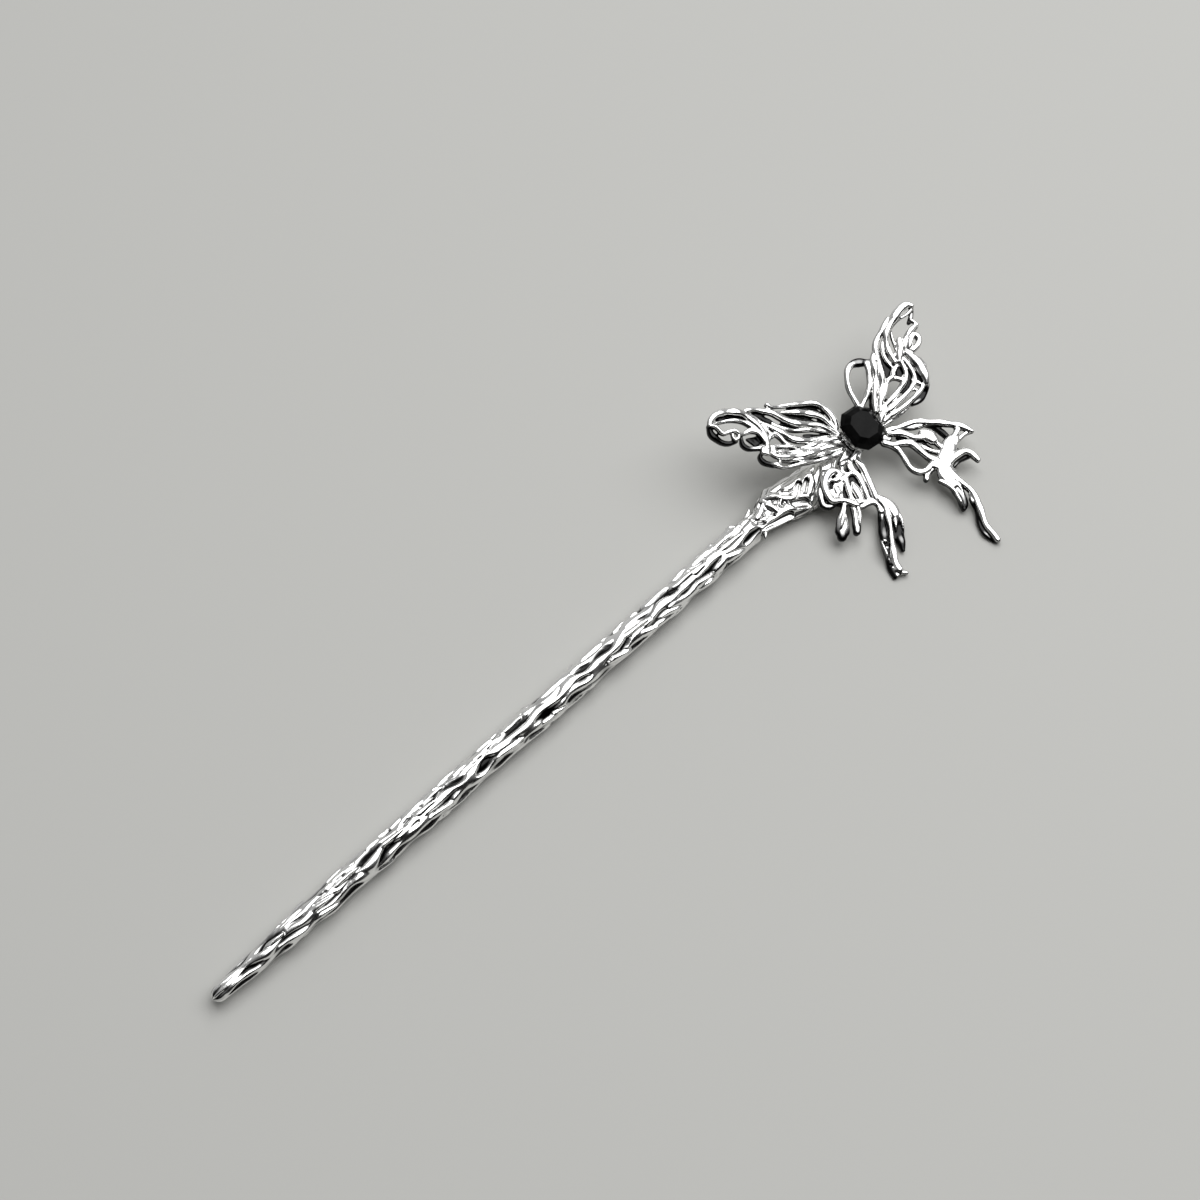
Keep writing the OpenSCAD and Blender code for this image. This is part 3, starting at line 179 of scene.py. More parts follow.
LEFT_HIND_STRANDS = [
    (0.3, 0.85, [(857,461,2.2),(861.5,467,2.8),(865.5,474,2.8),(869,481.5,2.6),(872,489,2.6),
      (875,496,2.4),(877.5,501,2)]),
    (0.2, 0.85, [(849,463,2),(852.5,470,2.2),(857.5,475.5,2.4),(861,482,2.2),(864,489,2.0),
      (867,495.5,1.8),(870,500.5,1.8)]),
    (0.25, 0.85, [(857,474.5,1.8),(850.5,473.5,1.6),(845.5,477,1.6),(841,479,1.8)]),
    (0.15, 0, [(853,484,2.6),(855.4,489,4.3),(858.2,494.5,4.6),(861,500,3.6)]),
    (0.2, 0.85, [(845.5,479,1.8),(847,486,1.8),(849,493,1.8),(852,499,1.8),(856,503,1.8)]),
    (0.2, 0.85, [(841.5,480,1.8),(840.5,487,1.7),(840.8,494,1.7),(841.5,500,1.8)]),
    (0.4, 0.85, [(841.5,480,1.8),(839.5,474,2.2),(835,471,2.4),(829.5,473,2.8),(826,478,2.8),
      (825,484,2.6),(825.8,490,2.6),(828,496,2.6),(832,500.5,2.4),(838,500.5,2.2),(844,500.5,2),
      (850,502.5,2),(857,505,2)]),
    (0.34, 0, [(829.6,479.6,0.8),(832,480.4,1.8),(835.5,480.6,3.0),(839,478,2.6)]),
    (0.3, 0, [(834,486.5,1.6),(836.3,489.5,3.0),(837.6,494,3.2),(836,498,2.4)]),
    (0.35, 0, [(839,473,2),(837.8,477,2.6),(837,481.5,2)]),
    (0.3, 0, [(828,474.5,2),(829,478,2.4),(828.5,482,1.8)]),
    (0.25, 0.85, [(837,485.5,0.9),(837.5,489,1.1),(839,493,1.6)]),
    (0.3, 0.85, [(857,451,2.4),(853.5,457.5,1.8),(849,462,1.3),(848.5,467,0.9),(851.5,471.5,0.9)]),
    (0.2, 0.85, [(859,453,2),(858.5,458.5,1.4),(859.5,464,1.4)]),
    (0.2, 0.85, [(842,467.5,1),(842.5,472,1.2),(847,474.5,1.2),(851,473.5,1)]),
    (0.25, 0, [(845,461,1.6),(842,464.5,2.4),(840,466,1.2)]),
    (-0.35, 0.85, [(828,475,2),(822.5,483,2.2),(820.5,491,2.4),(821,499,2.6),(824,505.5,2.6),
      (830,506.5,2.2),(836,504,2),(841,505,1.6)]),
    (0.1, 0.85, [(855,505.5,2),(862,506.5,1.8),(868,503.5,1.8),(874,502.5,1.8),(878.5,505.5,1.8),
      (881,511,1.8)]),
    (0.15, 0.85, [(850,499.5,1.5),(858,502.5,1.6),(866,501.5,1.7),(872,500.5,1.8),(878,500,2)]),
    (0.1, 0.25, [(845,500.5,2.4),(844,507,2.8),(843,513,3.4),(842.5,519.5,5,0.2),(843.2,526.5,7,0.5),
      (843.5,531.5,6.6,0.7),(843.5,535,4.4,0.8)]),
    (0.45, 0, [(845,505,0.8),(844.3,512,1.5),(842.8,519,1.9),(841.3,525,1.5,0.25),(840.3,530,0.3,0.6)]),
    (0.05, 0.25, [(852,502.5,2.4),(854,508,3.4,0.1),(855.8,514,3.6,0.4),(857,520,3.6,0.5),
      (857.6,526,3.8,0.5),(857.8,530.5,3.6,0.5)]),
    (0.25, 0, [(854.5,503,1.8),(858,509,2.2),(859.5,515,1.9),(860,521,1.5),(859.8,528,0.3,0.3)]),
    (0, 0.25, [(879.5,506,2),(882,514,3,0.3),(883.5,522,4.2,0.7),(884.5,530,4.5,0.8),(885.5,538,4.3,0.7),
      (887,546,3.7,0.7),(888.5,554,3.2,0.6),(890.5,562,3,0.7),(893,570,3,0.7),(896,576,2.8,0.6)]),
    (0.25, 0, [(880.8,538,0.2,0.5),(883,545,1.1),(886,552.5,1.1),(889,561,0.2,0.4)]),
    (0.3, 0.25, [(884.3,540.5,1.3),(885.5,541,1.3)]),
    (0.2, 0.85, [(876.5,498.5,2.4),(882,502.5,2.6),(886,509,2.6),(888,516,2.0),(889.5,524,1.3),
      (891,532,1.2),(892,540,1.7),(893,548,2.7),(894,556,2.9),(896,563,2.8),(899,569,2.8)]),
    (0.2, 0.85, [(879,499,2.8),(886,502,3.8),(891,507,4.6),(895,514,5,0.25),(897.5,521,5.6,0.8),
      (899.5,528,5.4,1),(901,535,4.5,1),(903,542,2.7,0.95),(904.5,548.5,1.3,0.9)]),
    (0.25, 0, [(892,509,1.4),(894.5,517,1.6,0.1),(896,525,1.2,0.3),(897,534,0.2,0.7)]),
    (0.2, 0, [(896,508,1.5),(900.8,518,1.6,0.1),(903.6,527,1.1,0.3),(905,535,0.2,0.6)]),
    (0.0, 0.25, [(896,570,2.6),(901.5,572.5,2.6),(906,573,2)])]

LEFT_HIND_WEBS = [
    (0.15, 2.6, [(829.5,491.5),(837,490.5),(841,496.5),(832,499)]),
    (0.12, 2.4, [(836,475),(840,478),(840.5,488),(838,494),(835,489),(836,482)]),
    (0.2, 2.6, [(829,471.5),(836,470.5),(838.5,474.5),(834,473)]),
    (0.2, 2.4, [(826,478),(825.3,485),(826.5,492),(827.5,486)]),
    (0.2, 2.4, [(826,477),(830,471.5),(833,470),(828,478)]),
    (0.1, 2.2, [(880,500.5),(886,501),(893,507),(896,513),(889,515),(884,509)]),
    (-0.25, 1.8, [(884,508),(890,510),(896,520),(889,520)]),
    (-0.65, 2, [(890,517),(897,517),(901,535),(894,539)]),
    (-0.1, 2.2, [(893,568),(899,567.5),(904,572.5),(897,576)]),
    (-0.2, 2.0, [(886,548),(894,548),(896,562),(891,563)])]

LEFT_HIND_SHEETS = [
    [(828,477),(836,471),(848,468),(858,470),(866,482),(874,499),(862,503.5),(846,500),(832,500),
      (825,492)]]

RIGHT_HIND_STRANDS = [
    (0.3, 0.8, [(887,431,2.0),(897,428,2.0),(906,424.5,2.2),(915,422,2.6),(925,421.8,2.8),(935,422.5,2.4),
      (945,423.5,2.4),(955,424.5,2.6),(963,427,2.6),(969,430,1.8),(972,431.5,1.0)]),
    (0.1, 0.8, [(896,430,1.6),(905,427.8,1.8),(913,427,2.0),(920,425.8,1.8),(926,423.5,1.4)]),
    (0.25, 0.8, [(888,433,2.2),(897,433,2.4),(905,434.5,2.6),(913,437,2.4),(921,437.5,2.6),(929,437,3)]),
    (0.15, 0.8, [(884,443,2),(893,445,2.2),(900,443.5,2.4),(907,442.6,2.6),(913,444.5,2.8),
      (919,449.5,2.6),(925,454.5,2.4),(931,458.5,2.6),(937,461,3)]),
    (-0.05, 0.8, [(912,443,1.5),(920,446,1.8),(927,449,1.8),(934,451.5,1.6),(941,453,1.6)]),
    (0.1, 0.8, [(888,444.5,2),(894,446.5,2.2),(899,450,2.2),(903,456,2.0),(906.5,462,2.0),
      (910.5,467.5,2.0),(916,471,2.2),(921.5,472,2.2),(926.5,470,2.2),(930.5,466,2.4),(935,462.5,2.6)]),
    (0.1, 0.8, [(931,439,2),(936,442.5,1.8),(941,447,2)]),
    (0.15, 0, [(922.5,433.5,4.4),(925.5,434.8,6.6),(929.5,436.8,7.2),(932,439,5.4)]),
    (-0.6, 0.8, [(925,425,1.4),(933,426.5,1.8),(940.5,431,2.2),(947,437,1.8)]),
    (0.1, 0, [(956.5,432.5,1.6),(951.8,440,5.8),(948.3,448.5,8),(945.5,458,8),(944.5,467,8.8),
      (948,476.5,8.4),(953,484,5.4)]),
    (0.1, 0, [(946,466,6.5),(938,466,4.8),(931.5,465.5,3.4)]),
    (0.15, 0, [(957.3,434,1.2),(955.8,441,2.6),(952,449,4)]),
    (0.2, 0.8, [(953,438,2.2),(957,431,2.2),(957,425.5,2.4)]),
    (0.0, 0.8, [(956,442,1.2),(961,437,1.2),(966,433.5,1.3),(971,431.5,1.2)]),
    (0.25, 0.8, [(948,463,3),(954,457.5,3),(960,453.3,2.9),(965.5,451.2,2.9),(970.5,452.8,2.7),
      (974.8,456.5,2.5),(978,460,2.0)]),
    (-0.55, 0.8, [(953,467,1.8),(958,461.5,1.8),(964,458,1.8),(969,456,1.6)]),
    (-0.1, 0.8, [(934,467,2.2),(929,472,2),(926.8,475.5,2.2),(926.5,479,2.0)]),
    (0.05, 0.4, [(950,479,4),(955,486,4.4,0.3),(960,492.5,5,0.6),(963.5,499,5,0.7),(965,504.5,3.6,0.7),
      (965,507,2,0.7)]),
    (0.25, 0, [(940,481,1.6),(949,486,1.9),(955.5,492,1.8),(959.5,499,1.5),(963.5,506,0.3,0.4)]),
    (0.2, 0, [(954,481,1.6),(961.5,489.5,1.5,0.1),(966,499,0.3,0.5)]),
    (0.15, 0.4, [(952,474,3.4),(960,481,3),(967,487,2.6),(973,493,2.8),(977,500,3.4),(980,508,3.2),
      (982.5,516,2.8),(985.5,523,2.8),(989.5,529.5,2.8),(994,535,3),(997.5,539.5,3)]),
    (-0.6, 0.4, [(972,499,2.2),(975.5,507,2),(978,516,2),(980,525,2.2),(983.5,532,2.6),(988.5,537,2.8),
      (994.5,541,2.8)])]

RIGHT_HIND_WEBS = [
    (-0.65, 1.4, [(897,438.5),(912,440),(921,442.5),(932,449)]),
    (-0.6, 1.5, [(952,452),(957,449),(958,456),(953,459)]),
    (0.0, 2.0, [(941,480),(950,478),(956,486),(951,486.5)]),
    (0.0, 1.8, [(970,494),(976,494.5),(978,501.5),(972.5,501.5)])]

# Heading and rise of each wing in degrees, the headings between which its tab sits on the base
# plate, where the tab's outer edge starts and ends across the wing, and what it is made of.
WINGS = {
    "left_forewing": (145, 11, (128, 158), (-0.3, 2.2), LEFT_FORE_STRANDS, LEFT_FORE_WEBS, []),
    "right_forewing": (25, 11, (-6, 40), (-1.6, 0.8),
                       RIGHT_FORE_STRANDS, RIGHT_FORE_WEBS, RIGHT_FORE_SHEETS),
    "left_hindwing": (240, 1.5, (194, 222), (-1.6, -5),
                      LEFT_HIND_STRANDS, LEFT_HIND_WEBS, LEFT_HIND_SHEETS),
    "right_hindwing": (276, 4, (296, 318), (2.4, 3.6), RIGHT_HIND_STRANDS, RIGHT_HIND_WEBS, []),
}

PICK_DECIMALS = 2  # of a mm, to which picks are rounded
LEAST_GROWN, LEAST_PLAIN = 0.28, 0.06  # half-width of a strand with a gain and without one
LEAST_BEAD = 0.26
STRAND_STEP = 0.2  # between its rings
WIDTH_SWING = (0.07, 1.9, 2.4)  # size, radians per mm and radians from strand to strand
HEIGHT_SWING = (0.09, 1.3, 1.7)
FLATNESS = 2.4  # power of a strand's cross-section, where 2 is an ellipse
STRAND_OVER = (0.7, 0.2, 0.55)  # height over its middle: most, start, share of half-width
STRAND_UNDER = (0.9, 0.45, 0.8)  # depth under its middle, in the same way
THIN_HALF = 0.2  # half-width at which a strand starts to thin out
CAP_DEGREES = (75, 55, 35, 15)
SHEET_LOW, SHEET_TOP = -0.45, 0
TAB_REACH, TAB_ROUND, TAB_HEIGHT = 2.4, 0.45, 1
TAB_EDGE = (5, -0.25, 0.35)  # along the wing, height and radius
VOXEL = 0.106
SMOOTH_IN, SMOOTH_OUT = 0.6, -0.5
WING_ROUNDS, NECK_ROUNDS = 3, 2
WORKED_WAVES, WORKED_LENGTHS, WORKED_PHASES, WORKED_SIZE = 9, (2.2, 6), (0, 6.28), 0.011
CAVITY_ROUNDS = 50
WING_GROOVE, NECK_GROOVE = 0.16, 0.2  # depth at which a groove's painted shade is full
WALL_FROM, WALL_SPAN = 0.55, 0.3  # upward share of a normal at which painted shade on a wall starts
LOW_FROM, LOW_SPAN, LOW_FACING = 0.36, 0.42, 0.15  # height at which painted shade in low places starts
# How dark the painted shade on walls and in low places gets
WALL_SHADE = LOW_SHADE = 0.85
WING_EASED, PIN_EASED = 0.9 * MM, 0.3 * MM  # height under which a surface levels out

draw = np.random.RandomState(11)


# Frames
def laid(points):
    """Points of the pin's frame, in mm, as they lie, in metres."""
    p = np.asarray(points, float)
    c, s = math.cos(LIE_ROLL), math.sin(LIE_ROLL)
    out = np.empty_like(p)
    out[:, 0] = p[:, 0] - MIDDLE[0]
    out[:, 1] = p[:, 1] * c - p[:, 2] * s - MIDDLE[1]
    out[:, 2] = p[:, 1] * s + p[:, 2] * c + SHAFT_D / 2
    return out * MM


def clear_of_table(points, eased):
    """Points whose heights under eased, in metres, level out before they reach the table."""
    z = points[:, 2]
    points[:, 2] = np.where(z < eased, eased * np.exp(np.minimum(z / eased - 1, 0)), z)
    return points


def wing_to_pin(points, heading, rise):
    """Points of a wing's plane in the pin's frame."""
    h, r = math.radians(heading), math.radians(rise)
    p = np.asarray(points, float)
    along = p[:, 0] * math.cos(r) - p[:, 2] * math.sin(r)
    out = np.empty_like(p)
    out[:, 0] = along * math.cos(h) - p[:, 1] * math.sin(h)
    out[:, 1] = along * math.sin(h) + p[:, 1] * math.cos(h)
    out[:, 2] = WING_Z + p[:, 0] * math.sin(r) + p[:, 2] * math.cos(r)
    return out


def on_wing(pixels, heading, rise, height=0):
    """Where pixels of the photo lie at a height over a wing, in mm along and across it."""
    plane = [(0, 0, height), (1, 0, height), (0, 1, height)]
    origin, *ends = laid(wing_to_pin(plane, heading, rise))
    ahead = np.subtract(CAMERA_AIM, CAMERA_PLACE)
    ahead /= np.linalg.norm(ahead)
    right = np.cross(ahead, (0, 0, 1))
    right /= np.linalg.norm(right)
    down = np.cross(ahead, right)
    slope = math.tan(math.radians(CAMERA_DEGREES / 2))
    rays = ahead + (np.asarray(pixels) / PHOTO_HALF - 1) * slope @ [right, down]
    sides = np.subtract(ends, origin)
    away = np.subtract(CAMERA_PLACE, origin)
    return np.array([np.linalg.solve(np.transpose([-ray, *sides]), away)[1:] for ray in rays])


def pixel_size(pixels, heading, rise):
    """Sizes of pixels of the photo on a wing, in mm."""
    here, right, below = (on_wing(np.add(pixels, step), heading, rise)
                          for step in ((0, 0), (1, 0), (0, 1)))
    return np.sqrt(np.abs(np.linalg.det(np.stack([right - here, below - here], 1))))


def turn_gap(turn, centre):
    """Degrees from centre to turn, from -180 to 180."""
    return (turn - centre + 540) % 360 - 180


def on_ring(x, turn, r):
    """Points round the pin's axis, from a place along it, a turn in degrees and a radius."""
    turn = np.radians(turn)
    return np.stack(np.broadcast_arrays(x, r * np.cos(turn), r * np.sin(turn)), -1)


# Closed surfaces, as vertices and faces
def joined(pieces):
    """Several closed surfaces as one."""
    verts, faces, count = [], [], 0
    for points, sides in pieces:
        verts.append(np.asarray(points, float))
        faces += [tuple(i + count for i in side) for side in sides]
        count += len(points)
    return np.concatenate(verts), faces


def skin(rings):
    """A closed surface over a row of rings."""
    rings = np.asarray(rings, float)
    n, m, _ = rings.shape
    ends = [rings[0].mean(0)[None], rings[-1].mean(0)[None]]
    verts = np.concatenate([rings.reshape(-1, 3), *ends])
    i, j = np.meshgrid(np.arange(n - 1), np.arange(m), indexing="ij")
    a, b = i * m + j, i * m + (j + 1) % m
    faces = np.stack([a, b, b + m, a + m], -1).reshape(-1, 4).tolist()
    near, far = n * m, n * m + 1
    top = (n - 1) * m
    for k in range(m):
        faces.append((near, (k + 1) % m, k))
        faces.append((far, top + k, top + (k + 1) % m))
    return verts, faces


def smooth_path(points, step):
    """A curve through points, with a row about every step."""
    p = np.asarray(points, float)
    last = len(p) - 1
    rows = []
    for i in range(last):
        a, b, c, d = p[max(i - 1, 0)], p[i], p[i + 1], p[min(i + 2, last)]
        n = max(2, int(np.linalg.norm((c - b)[:3]) / step))
        t = (np.arange(n) / n)[:, None]
        square, cube = 2 * a - 5 * b + 4 * c - d, 3 * b - a - 3 * c + d
        rows.append((2 * b + (c - a) * t + square * t ** 2 + cube * t ** 3) / 2)
    rows.append(p[last:])
    return np.concatenate(rows)


def half_depth(half, sin):
    """Height over and depth under a strand's middle."""
    over, under = (np.minimum(most, start + share * half)
                   for most, start, share in (STRAND_OVER, STRAND_UNDER))
    return np.where(sin > 0, over, under)


def tube(path, sides=24):
    """Rings round a path of [x, y, z, half-width], with rounded ends."""
    place, half = path[:, :3], path[:, 3]
    along = np.gradient(place, axis=0)
    along /= np.linalg.norm(along, axis=1)[:, None]
    side = np.cross([0, 0, 1.0], along)
    side /= np.linalg.norm(side, axis=1)[:, None]
    up = np.cross(along, side)
    turn = np.linspace(0, 2 * math.pi, sides, endpoint=False)
    cos, sin = np.cos(turn), np.sin(turn)
    full = (np.abs(cos) ** FLATNESS + np.abs(sin) ** FLATNESS) ** (-1 / FLATNESS)
    cos, sin = (cos * full)[None, :, None], (sin * full)[None, :, None]
    caps = np.radians(CAP_DEGREES)

    def rings(centre, sideways, upward, h):
        h = h[:, None, None]
        deep = half_depth(h, sin) * np.minimum(1, h / THIN_HALF)
        return centre[:, None] + sideways[:, None] * (h * cos) + upward[:, None] * (deep * sin)

    def cap(k, way):
        one = np.ones((len(caps), 1))
        centre = place[k] + way * along[k] * (np.sin(caps) * half[k])[:, None]
        return rings(centre, side[k] * one, up[k] * one, half[k] * np.cos(caps))

    return np.concatenate([cap(0, -1), rings(place, side, up, half), cap(-1, 1)[::-1]])


def hull_of(points):
    """The convex hull of points."""
    bm = bmesh.new()
    for p in points:
        bm.verts.new(p)
    bmesh.ops.convex_hull(bm, input=bm.verts)
    bmesh.ops.delete(bm, geom=[v for v in bm.verts if not v.link_faces], context="VERTS")
    bm.verts.index_update()
    verts = [v.co[:] for v in bm.verts]
    faces = [tuple(v.index for v in f.verts) for f in bm.faces]
    bm.free()
    return verts, faces


def ball_points(centre, radius, rows=7, sides=12):
    """Points over a ball."""
    out = [[0, 0, -1], [0, 0, 1]]
    for a in np.linspace(-math.pi / 2, math.pi / 2, rows)[1:-1]:
        for b in np.linspace(0, 2 * math.pi, sides, endpoint=False):
            out.append([math.cos(a) * math.cos(b), math.cos(a) * math.sin(b), math.sin(a)])
    return np.asarray(out) * radius + np.asarray(centre)


def prism(outline, low, high):
    """A flat plate."""
    loop = [Vector((x, y, 0)) for x, y in outline]
    tris = tessellate_polygon([loop])
    flat = np.array([p[:] for p in loop])
    n = len(flat)
    verts = np.concatenate([flat + [0, 0, low], flat + [0, 0, high]])
    faces = [(c, b, a) for a, b, c in tris] + [(a + n, b + n, c + n) for a, b, c in tris]
    faces += [(k, (k + 1) % n, (k + 1) % n + n, k + n) for k in range(n)]
    return verts, faces


def lathe(profile, sides=48):
    """A turned shape, from rows of [radius, height]."""
    turn = np.linspace(0, 2 * math.pi, sides, endpoint=False)
    return skin([np.stack([r * np.cos(turn), r * np.sin(turn), np.full(sides, z)], -1)
                 for r, z in profile])


# Meshes
def new_mesh(name, verts, faces):
    mesh = bpy.data.meshes.new(name)
    mesh.from_pydata(np.asarray(verts).tolist(), [], faces)
    mesh.update()
    return mesh


def new_object(name, data):
    obj = bpy.data.objects.new(name, data)
    bpy.context.scene.collection.objects.link(obj)
    return obj


def mesh_arrays(mesh):
    """The places of a mesh's vertices and the ends of its edges."""
    co = np.empty(len(mesh.vertices) * 3)
    mesh.vertices.foreach_get("co", co)
    edges = np.empty(len(mesh.edges) * 2, np.int64)
    mesh.edges.foreach_get("vertices", edges)
    return co.reshape(-1, 3), edges.reshape(-1, 2)


def normals(mesh):
    normal = np.empty(len(mesh.vertices) * 3)
    mesh.vertices.foreach_get("normal", normal)
    return normal.reshape(-1, 3)


def move_to(mesh, co):
    mesh.vertices.foreach_set("co", co.ravel())
    mesh.update()


def with_modifier(obj, kind, **settings):
    """The mesh of an object after a modifier; the object itself goes."""
    mod = obj.modifiers.new(kind, kind)
    for key, value in settings.items():
        setattr(mod, key, value)
    graph = bpy.context.evaluated_depsgraph_get()
    mesh = bpy.data.meshes.new_from_object(obj.evaluated_get(graph))
    bpy.data.objects.remove(obj)
    return mesh


def keep_largest(mesh):
    """Drops every loose piece of a mesh but the largest, such as the wall of a closed void."""
    _, edges = mesh_arrays(mesh)
    label = np.arange(len(mesh.vertices))
    while True:
        low = np.minimum(label[edges[:, 0]], label[edges[:, 1]])
        new = label.copy()
        np.minimum.at(new, edges[:, 0], low)
        np.minimum.at(new, edges[:, 1], low)
        new = new[new]
        if (new == label).all():
            break
        label = new
    drop = np.nonzero(label != np.bincount(label).argmax())[0]
    if len(drop):
        bm = bmesh.new()
        bm.from_mesh(mesh)
        bm.verts.ensure_lookup_table()
        bmesh.ops.delete(bm, geom=[bm.verts[i] for i in drop], context="VERTS")
        bm.to_mesh(mesh)
        bm.free()


def fused(pieces, name):
    """One skin round several closed surfaces, in mm."""
    mesh = with_modifier(new_object(name, new_mesh(name, *joined(pieces))), "REMESH",
                         mode="VOXEL", voxel_size=VOXEL, adaptivity=0)
    keep_largest(mesh)
    mesh.name = name
    return mesh


def cut(mesh, verts, faces):
    """A mesh with a closed shape taken out of it."""
    tool = new_object("cutter", new_mesh("cutter", verts, faces))
    out = with_modifier(new_object("body", mesh), "BOOLEAN",
                        operation="DIFFERENCE", solver="EXACT", object=tool)
    bpy.data.objects.remove(tool)
    return out


def relaxed(co, edges, times, factor=0.5):
    """Points after a number of rounds of moving towards their neighbours."""
    n = len(co)
    a, b = edges[:, 0], edges[:, 1]
    count = np.maximum(np.bincount(a, minlength=n) + np.bincount(b, minlength=n), 1)
    co = co.copy()
    for _ in range(times):
        total = np.stack([np.bincount(a, co[b, k], n) + np.bincount(b, co[a, k], n)
                          for k in range(3)], 1)
        co += factor * (total / count[:, None] - co)
    return co


def evened(mesh, rounds):
    """A mesh's points, smoothed by turns in and out that keep its bulk."""
    co, edges = mesh_arrays(mesh)
    for _ in range(rounds):
        co = relaxed(relaxed(co, edges, 1, SMOOTH_IN), edges, 1, SMOOTH_OUT)
    return co


def worked(co, mesh):
    """The slight unevenness of a hand-modelled surface, added along its normals."""
    swell = np.zeros(len(co))
    for _ in range(WORKED_WAVES):
        way = draw.normal(size=3)
        way *= 2 * math.pi / draw.uniform(*WORKED_LENGTHS) / np.linalg.norm(way)
        swell += np.sin(co @ way + draw.uniform(*WORKED_PHASES))
    return co + normals(mesh) * (WORKED_SIZE * swell)[:, None]


def painted_groove_and_wall_shade(mesh, depth):
    """How far each point lies in a groove or on a wall, which sets the painted shade it gets."""
    co, edges = mesh_arrays(mesh)
    normal = normals(mesh)
    # Points deep in a groove, and walls that face sideways, both get painted shade.
    lift = ((relaxed(co, edges, CAVITY_ROUNDS) - co) * normal).sum(1)
    wall = np.clip((WALL_FROM - np.abs(normal[:, 2])) / WALL_SPAN, 0, 1)
    return np.clip(lift / depth, 0, 1) + WALL_SHADE * wall


def set_painted_shade(mesh, values):
    layer = mesh.attributes.new("painted_shade", "FLOAT", "POINT")
    layer.data.foreach_set("value", np.clip(values, 0, 1).astype(np.float32))


def show(mesh, name, node, material):
    """Puts a finished mesh into the scene in place of a CAD node."""
    mesh.polygons.foreach_set("use_smooth", np.ones(len(mesh.polygons), bool))
    mesh.update()
    obj = new_object(name, mesh)
    mesh.materials.clear()
    mesh.materials.append(material)
    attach(obj, "root")
    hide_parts(node)


# Materials
# Where the metals' painted shade starts and where it is full, and the stops of the other pieces' drift of
# tone
GROOVE_STOPS, DRIFT_STOPS = (0.12, 0.85), (0.3, 0.7)
FINER = 6  # times the grain, for the dents
DENT = 0.05 * MM


def new_material(name):
    """A material, its nodes, its links and its shader."""
    mat = bpy.data.materials.new(name)
    mat.use_nodes = True
    tree = mat.node_tree
    return mat, tree.nodes, tree.links, tree.nodes["Principled BSDF"]


def set_inputs(node, **values):
    """Sets a node's inputs; an underscore stands for a space in their names."""
    for key, value in values.items():
        node.inputs[key.replace("_", " ")].default_value = value
    return node


def new_node(nodes, kind, **values):
    return set_inputs(nodes.new("ShaderNode" + kind), **values)


def new_ramp(nodes, positions, colours):
    ramp = new_node(nodes, "ValToRGB")
    for stop, position, colour in zip(ramp.color_ramp.elements, positions, colours):
        stop.color = (*colour, 1)
        stop.position = position
    return ramp


def wire(links, *wires):
    """Links nodes, from rows of a node, its output, the next node and its input."""
    for node, output, other, into in wires:
        links.new(node.outputs[output], other.inputs[into])


def grey(level):
    return (level, level, level)


def metal(name, light, painted_shade_colour, rough, grain, bump):
    """Plated metal with shade painted into its colour where its grooves, walls and low places are marked,
    and a finish that varies a little.
    """
    mat, nodes, links, shader = new_material(name)
    set_inputs(shader, Metallic=1.0)
    place = new_node(nodes, "TexCoord")
    painted_shade = new_node(nodes, "Attribute")
    painted_shade.attribute_name = "painted_shade"
    ramp = new_ramp(nodes, GROOVE_STOPS, (light, painted_shade_colour))
    tone = new_node(nodes, "TexNoise", Scale=grain, Detail=4)
    span = new_node(nodes, "MapRange", To_Min=rough[0], To_Max=rough[1])
    fine = new_node(nodes, "TexNoise", Scale=grain * FINER, Detail=3)
    dent = new_node(nodes, "Bump", Strength=bump, Distance=DENT)
    wire(links, (place, "Object", tone, "Vector"), (place, "Object", fine, "Vector"),
         (painted_shade, "Fac", ramp, "Fac"), (ramp, "Color", shader, "Base Color"),
         (tone, "Fac", span, "Value"), (span, "Result", shader, "Roughness"),
         (fine, "Fac", dent, "Height"), (dent, "Normal", shader, "Normal"))
    return mat


def varied(name, colours, metallic, rough, scale, stretch=(1, 1, 1)):
    """A surface whose colour and finish drift a little, drawn out along one way."""
    mat, nodes, links, shader = new_material(name)
    set_inputs(shader, Metallic=metallic)
    place = new_node(nodes, "TexCoord")
    drawn = new_node(nodes, "Mapping", Scale=stretch)
    grain = new_node(nodes, "TexNoise", Scale=scale, Detail=4)
    ramp = new_ramp(nodes, DRIFT_STOPS, colours)
    span = new_node(nodes, "MapRange", To_Min=rough[0], To_Max=rough[1])
    wire(links, (place, "Object", drawn, "Vector"), (drawn, "Vector", grain, "Vector"),
         (grain, "Fac", ramp, "Fac"), (ramp, "Color", shader, "Base Color"),
         (grain, "Fac", span, "Value"), (span, "Result", shader, "Roughness"))
    return mat


SILVER = (0.93, 0.93, 0.92)
# Both silvers carry painted shade where grooves, walls and low places are marked; the bare plating is
# evenly bright.
polished = metal("polished_silver", SILVER, grey(0.02), (0.1, 0.24), grain=260, bump=0.15)
pin_silver = metal("pin_silver_with_painted_shade", SILVER, grey(0.015), (0.1, 0.26), grain=300, bump=0.2)


# Wings
def swing(run, k, size, pace, shift):
    """A slow swing along the k-th strand."""
    return size * np.sin(run * pace + shift * k)


